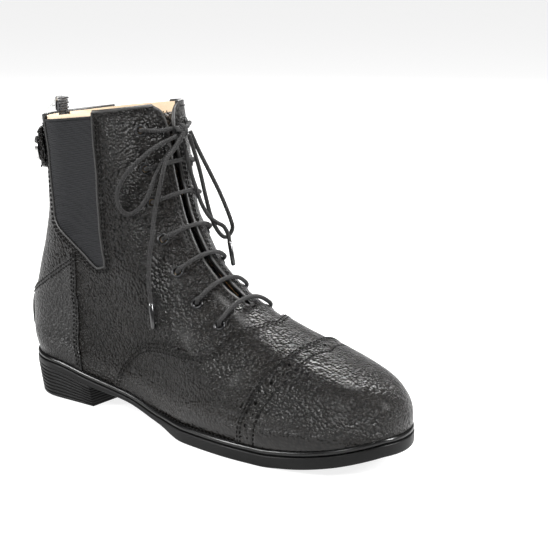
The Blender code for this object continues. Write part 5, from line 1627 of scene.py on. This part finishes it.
def bow_path(side, way_out, rows, way_back=None):
    """Cord from the knot over its table of places, and back into the knot if it is a loop."""
    points = over_skin(rows)
    points = [knot_exit(side, way_out, points[0])] + points
    if way_back:
        points.append(knot_exit(side, way_back, points[-1]))
    return resample(curve_through(points, BOW_STEPS), LACE_STEP)[0]


def build_bow_pieces():
    """Loops, ends and tips of the bow, built as braided cords, and then its knot."""
    loops = (("near", -1, LOOP_NEAR_OUT, LOOP_NEAR, LOOP_NEAR_BACK),
             ("far", 1, LOOP_FAR_OUT, LOOP_FAR, LOOP_FAR_BACK))
    tails = (("near", -1, TAIL_NEAR_EXIT, TAIL_NEAR), ("far", 1, TAIL_FAR_EXIT, TAIL_FAR))
    for word, side, out, rows, back in loops:
        path = bow_path(side, out, rows, back)
        keep(strand(f"bow_loop_{word}", path), [f"lace_loop_{word}"])
    for word, side, out, rows in tails:
        path = bow_path(side, out, rows)
        obj = keep(strand(f"bow_end_{word}", path), [f"lace_tail_{word}"])
        start, end = aglet_ends(path)
        direction = (end - start) / np.linalg.norm(end - start)
        profile = [(0.0, -0.0004), (0.0012, -0.0004), (0.00145, 0.0), (0.00145, AGLET_LENGTH - 0.0012),
                   (0.0011, AGLET_LENGTH - 0.0002), (0.0, AGLET_LENGTH)]
        tip = solid_of_turning(f"bow_tip_{word}", start, direction, profile, MATERIALS["aglet"], 16)
        keep(tip, [f"aglet_{word}"])
    build_knot_piece()


def build_knot_piece():
    """Two wraps across and one cord over them, close together."""
    centre, outward, across, upward = knot_frame()
    turn = np.linspace(0, 2 * pi * 3.2, 150)
    drift = np.linspace(-1, 1, 150)
    wraps = (centre + outward * (np.cos(turn) * 0.0022)[:, None] + upward * (np.sin(turn) * 0.0025)[:, None]
             + across * (drift * 0.0034)[:, None])
    bend = np.linspace(-0.92, 0.92, 40) * pi / 2
    over = (centre + outward * (np.cos(bend) * 0.0036)[:, None] + upward * (np.sin(bend) * 0.0036)[:, None]
            + across * (np.sin(bend) * 0.0012)[:, None])
    pieces = []
    for route in (wraps, over):
        pieces.append(strand("strand", resample(route, LACE_STEP)[0], LACE / 2 * 0.98))
    keep(joined("bow_knot", pieces, MATERIALS["cord"]), ["lace_knot"])


def build_laces():
    route = curve_through(lace_route(), ROUTE_STEPS)
    keep(strand("lace_run", resample(route, LACE_STEP)[0]), ["lace"])
    top, rest, foot = GAP + EYELET_RIM, 0.00005, -WALL - EYELET_RIM
    section = [(EYELET_HOLE, foot), (EYELET_BARREL, foot), (EYELET_BARREL, rest), (EYELET_FLANGE, rest)]
    for angle in np.linspace(0, pi, 9)[1:-1]:
        middle = (EYELET_FLANGE + EYELET_HOLE) / 2
        height = rest + (top - rest) * sin(angle) ** 0.7
        section.append((middle + (EYELET_FLANGE - middle) * cos(angle), height))
    for side, word in SIDES:
        rings = []
        for eyelet in EYELETS:
            centre, normal, _ = eyelet_frame(eyelet, side)
            rings.append(solid_of_turning("ring", centre, normal, section, MATERIALS["eyelet"]))
        names = [f"eyelet_{word}_{number}" for number in range(1, 8)]
        keep(joined(f"eyelets_{word}", rings, MATERIALS["eyelet"]), names)


# Back


def back_piece(name, heights, turns, low, high, look, replaced):
    station, around = back_patch(heights, turns)
    grids = surface(station, around, high), surface(station, around, low)
    keep(add_shell(name, *grids, MATERIALS[look], 60.0), [replaced])


def eased(count):
    """Shares from -1 to 1, closer together at both ends."""
    t = np.linspace(-1, 1, count)
    return np.sin(t * pi / 2) * 0.7 + t * 0.3


def build_back():
    rise, run = eased(25), eased(61)
    reach = SPUR_REACH * np.sqrt(np.maximum(1.02 - rise**2, 0.02))
    turns = -reach[:, None] * run[None, :]
    turns[:, 30] = 0.0
    heights = (SPUR_LOW + SPUR_HIGH + (SPUR_HIGH - SPUR_LOW) * rise[:, None]) / 2
    heights = np.broadcast_to(heights, turns.shape)
    lens = (1 - rise[:, None] ** 2) * (1 - run[None, :] ** 2)
    rest = OVERLAY + 2 * GAP
    high = rest + SPUR_EDGE * np.sqrt(np.clip(lens * 12, 0, 1)) + SPUR_THICKNESS * lens
    back_piece("spur_ledge", heights, turns, rest - 0.0002, high, "smooth", "spur_rest")
    rise, run = eased(17), np.linspace(0, 1, 90)
    half = (STRAP_HIGH - STRAP_LOW) / 2
    corner = np.sqrt(1 - 0.75 * np.abs(rise) ** 4)
    lateral = (1 - STRAP_LATERAL) * corner
    medial = (1 - STRAP_MEDIAL) * np.ones(17)
    turns = -lateral[:, None] + (lateral + medial)[:, None] * run[None, :]
    heights = np.broadcast_to(STRAP_LOW + half + half * rise[:, None], turns.shape)
    ends = 1 - np.abs(2 * run - 1) ** 60
    edge = np.sqrt(np.clip((1 - np.abs(rise)) * 14, 0, 1))[:, None]
    edge = edge * np.sqrt(np.clip(ends * 2, 0, 1))[None, :]
    high = STRAP_REST + STRAP_THICKNESS * (0.35 + 0.65 * edge)
    back_piece("strap_leather", heights, turns, STRAP_REST, high, "leather", "snap_strap")
    for level in (STRAP_LOW + 0.0026, STRAP_HIGH - 0.0026):
        places = np.linspace(-(1 - STRAP_LATERAL) * 0.93, (1 - STRAP_MEDIAL) * 0.95, 60)
        around = np.where(places < 0, -1.0 - places, 1.0 - places)
        station = np.array([level_station(level, turn) for turn in around])
        top = STRAP_REST + STRAP_THICKNESS
        stitch_points(surface(station, around, top), skin_normal(station, around))
    around = -BUTTON_TURN
    station = level_station(BUTTON_HEIGHT, around)
    centre = surface(station, around, STRAP_REST + STRAP_THICKNESS + BUTTON_SEAT - 0.0004)
    radius, high = BUTTON_RADIUS, BUTTON_THICKNESS
    cap = [(0.0, 0.0), (radius * 0.9, 0.0), (radius, 0.0007)]
    for angle in np.linspace(0, pi, 8):
        cap.append((radius - 0.0007 + 0.0007 * cos(angle), high - 0.0007 + 0.0007 * sin(angle)))
    cap += [(radius - 0.0017, high - 0.0011), (radius * 0.45, high - 0.0005), (0.0, high - 0.0003)]
    normal = skin_normal(station, around)
    button = solid_of_turning("snap_disc", centre, normal, cap, MATERIALS["silver"], 48)
    keep(button, ["snap_button"])
    build_zip()
    build_slider_piece()


TOOTH_PITCH = 0.0016
ZIP_SEAMS = (0.0022, 0.0042)
HALF_GIRTH = 0.098
BOX_FACES = ((0, 1, 3, 2), (4, 6, 7, 5), (0, 4, 5, 1), (2, 3, 7, 6), (0, 2, 6, 4), (1, 5, 7, 3))


def small_boxes(name, boxes, rounding):
    """One piece of many small rounded boxes, from pairs of opposite corners."""
    points, faces = [], []
    for low, high in boxes:
        first = len(points)
        xs, ys, zs = zip(low, high)
        points += [(x, y, z) for x in xs for y in ys for z in zs]
        faces += [[first + v for v in face] for face in BOX_FACES]
    piece = add_mesh(name, points, faces, MATERIALS["zip"])
    bevel = piece.modifiers.new("round", "BEVEL")
    bevel.width, bevel.segments = rounding, 2
    apply_all(piece)
    keep(piece)


def build_slider_piece():
    """Outer plate, bridge and bail of the slider in metal, with the zip's dark serrated ends inside."""
    face = float(back_line(SLIDER_LOW)) - SLIDER_PLAY
    front = face - SLIDER_PLATE
    rear = face + ZIP_RECESS + ZIP_DEPTH + 3 * SLIDER_PLAY
    rise = np.linspace(0, 1, 21)
    half = SLIDER_HALF * (1 - 0.16 * rise**2) * np.sqrt(1 - 0.5 * np.abs(2 * rise - 1) ** 12)
    across = half[:, None] * eased(15)[None, :]
    height = np.repeat((SLIDER_LOW + (SLIDER_HIGH - SLIDER_LOW) * rise)[:, None], 15, axis=1)
    edge = np.sqrt(np.clip((1 - np.abs(eased(15))) * 9, 0, 1))[None, :]
    edge = edge * np.sqrt(np.clip(rise * (1 - rise) * 40, 0, 1))[:, None]
    outer = np.stack([face - SLIDER_PLATE * (0.4 + 0.6 * edge), across, height], axis=-1)
    inner = np.stack([np.full(across.shape, face), across, height], axis=-1)
    plate = add_shell("plate", outer, inner, MATERIALS["silver"], 50.0)
    low, high = (face - 0.0002, -0.0028, SLIDER_BRIDGE + 0.0006), (rear, 0.0028, SLIDER_HIGH - 0.0004)
    bridge = add_box("bridge", low, high, MATERIALS["silver"])
    bend = np.linspace(0, pi, 15)
    middle = (BAIL_LOW + BAIL_HIGH) / 2
    reach = (BAIL_HIGH - BAIL_LOW - BAIL_WIRE) / 2
    bail_path = np.stack([front - (BAIL_REACH - BAIL_WIRE / 2) * np.sin(bend) ** 0.6, np.zeros(15),
                          middle + reach * np.cos(bend)], axis=1)
    bail_path[[0, -1], 0] = front + 0.0004
    bail = tube("bail", bail_path, BAIL_WIRE / 2, MATERIALS["silver"], 10)
    keep(joined("slider_metal", [plate, bridge, bail], MATERIALS["silver"]), ["zip_slider"])
    back = face + ZIP_RECESS + ZIP_DEPTH + 0.0002
    boxes = []
    for number, level in enumerate(np.arange(SLIDER_LOW, SLIDER_HIGH - 0.0004, 0.0015)):
        reach = 0.0039 if number % 2 else 0.0032
        boxes.append(((back, -reach, level), (rear + SLIDER_PLATE * 0.8, reach, level + 0.0012)))
    small_boxes("zip_ends", boxes, 0.00025)


def build_zip():
    heights = np.linspace(ZIP_BOTTOM + GAP, ZIP_TOP, 90)
    across = np.linspace(-1, 1, 17) * (ZIP_HALF - GAP)
    height, wide = np.meshgrid(heights, across, indexing="ij")
    outer = np.stack([zip_face(height, wide), wide, height], axis=-1)
    narrow = np.where(height > COLLAR_BACK + SLIDER_PLAY, (SLIDER_HALF - GAP) / (ZIP_HALF - GAP), 1.0)
    outer[..., 1] *= narrow
    cloth = add_shell("zip_cloth", outer, outer + [ZIP_DEPTH, 0.0, 0.0], MATERIALS["zip"])
    keep(cloth, ["zip_tape"])
    boxes = []
    for number, level in enumerate(np.arange(ZIP_BOTTOM + 0.002, ZIP_TOP - 0.0006, TOOTH_PITCH / 2)):
        face = float(zip_face(level))
        left, right = (-0.0004, 0.0019) if number % 2 else (-0.0019, 0.0004)
        boxes.append(((face - 0.0006, left, level - 0.00036), (face + 0.0003, right, level + 0.00036)))
    small_boxes("zip_teeth", boxes, 0.00012)
    for side in (-1, 1):
        levels = np.linspace(ZIP_BOTTOM - 0.001, COLLAR_BACK - 0.0022, 90)
        for distance in ZIP_SEAMS:
            turn = side * (1 - (ZIP_HALF + distance) / HALF_GIRTH)
            station = np.array([level_station(level, turn) for level in levels])
            stitch_row(station, np.full(90, turn), 0.0)
        behind = back_line(levels) + ZIP_HALF**2 / (2 * ZIP_ROUND) + 0.0004
        path = np.stack([behind, np.full(90, side * ZIP_HALF), levels], axis=1)
        keep(tube(f"zip_edge_{side + 1}", resample(path, 0.0012)[0], 0.0009, MATERIALS["edge"]))


# Stage

BOOT_MIDDLE = (0.10, 0.0, 0.09)
# Name, place, size and power of each light
LIGHTS = (
    ("top", (0.20, 0.20, 1.4), (0.30, 0.22), 28),
    ("left", (-0.75, -1.10, 0.75), (0.28, 0.52), 27),
    ("right", (1.35, 0.45, 0.85), (0.20, 0.50), 36),
    ("front", (0.60, -1.30, 1.25), (0.32, 0.26), 17),
    ("behind", (-0.6, 1.3, 1.0), (0.36, 0.28), 20),
)
FLOOR_REACH = 20.0
FLOOR_GLOW = 0.84
# The studio's wall just above the horizon, and the dark above it
WALL_GLOW = 0.92
SKY_GLOW = 0.10
CAMERA_PLACE = (0.6364, -0.6195, 0.2934)
CAMERA_YAW = radians(37.9)
CAMERA_PITCH = radians(13.9)
CAMERA_ROLL = radians(-0.23)
FOCAL_PIXELS = 1396.0
PHOTO_PIXELS = 548.0
# Width of the sensor in millimetres
SENSOR = 36.0


def build_camera():
    level = cos(CAMERA_PITCH)
    forward = np.array([-sin(CAMERA_YAW) * level, cos(CAMERA_YAW) * level, -sin(CAMERA_PITCH)])
    right = np.array([cos(CAMERA_YAW), sin(CAMERA_YAW), 0.0])
    up = np.cross(right, forward)
    cosine, sine = cos(CAMERA_ROLL), sin(CAMERA_ROLL)
    right, up = right * cosine + up * sine, up * cosine - right * sine
    data = bpy.data.cameras.new("photo_camera")
    data.sensor_width = SENSOR
    data.sensor_fit = "HORIZONTAL"
    data.lens = FOCAL_PIXELS / PHOTO_PIXELS * SENSOR
    data.clip_start, data.clip_end = 0.01, 60.0
    camera = bpy.data.objects.new("photo_camera", data)
    bpy.context.scene.collection.objects.link(camera)
    turn = Matrix([[right[k], up[k], -forward[k]] for k in range(3)]).to_4x4()
    camera.matrix_world = Matrix.Translation(CAMERA_PLACE) @ turn
    bpy.context.scene.camera = camera


def add_light(name, place, size, power):
    """Area light turned towards the middle of the boot."""
    data = bpy.data.lights.new(name, "AREA")
    data.shape = "RECTANGLE"
    data.size, data.size_y = size
    data.energy = power
    light = bpy.data.objects.new(name, data)
    bpy.context.scene.collection.objects.link(light)
    light.location = place
    light.rotation_euler = (Vector(BOOT_MIDDLE) - Vector(place)).to_track_quat("-Z", "Y").to_euler()


def build_stage():
    mesh = bpy.data.meshes.new("floor")
    corners = [(x * FLOOR_REACH, y * FLOOR_REACH, 0) for x, y in ((-1, -1), (1, -1), (1, 1), (-1, 1))]
    mesh.from_pydata(corners, [], [(0, 1, 2, 3)])
    material, tree, shader, place = start_material("floor_look", 0.9)
    speckle = noise(tree, place, 90.0, 2.0)
    tree.links.new(ramp(tree, speckle, 0.3, 0.7, ((0.27,) * 3, (0.29,) * 3)), shader.inputs["Base Color"])
    shader.inputs["Emission Color"].default_value = (1.0, 1.0, 1.0, 1.0)
    shader.inputs["Emission Strength"].default_value = FLOOR_GLOW
    mesh.materials.append(material)
    floor = bpy.data.objects.new("floor", mesh)
    bpy.context.scene.collection.objects.link(floor)
    world = bpy.data.worlds.new("studio")
    world.use_nodes = True
    tree = world.node_tree
    background = tree.nodes["Background"]
    background.inputs["Color"].default_value = (1.0, 1.0, 1.0, 1.0)
    direction = tree.nodes.new("ShaderNodeTexCoord")
    apart = tree.nodes.new("ShaderNodeSeparateXYZ")
    tree.links.new(direction.outputs["Generated"], apart.inputs["Vector"])
    fade = ramp(tree, apart.outputs["Z"], 0.03, 0.14, ((WALL_GLOW,) * 3, (SKY_GLOW,) * 3))
    tree.links.new(fade, background.inputs["Strength"])
    bpy.context.scene.world = world
    bpy.context.scene.view_settings.view_transform = "Standard"
    for row in LIGHTS:
        add_light(*row)


def main():
    build_camera()
    build_bow_pieces()
    build_laces()
    build_quarters()
    build_overlays()
    build_counter()
    build_gussets()
    build_edges()
    build_lining()
    build_tongue_piece()
    build_soles()
    build_heel_block()
    build_back()
    build_stitches()
    for name, look in (("insole", "lining"), ("zip_pull", "silver")):
        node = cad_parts[name]
        node.data.materials.clear()
        node.data.materials.append(MATERIALS[look])
    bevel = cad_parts["zip_pull"].modifiers.new("round", "BEVEL")
    bevel.width, bevel.segments = 0.00018, 3
    build_stage()


main()
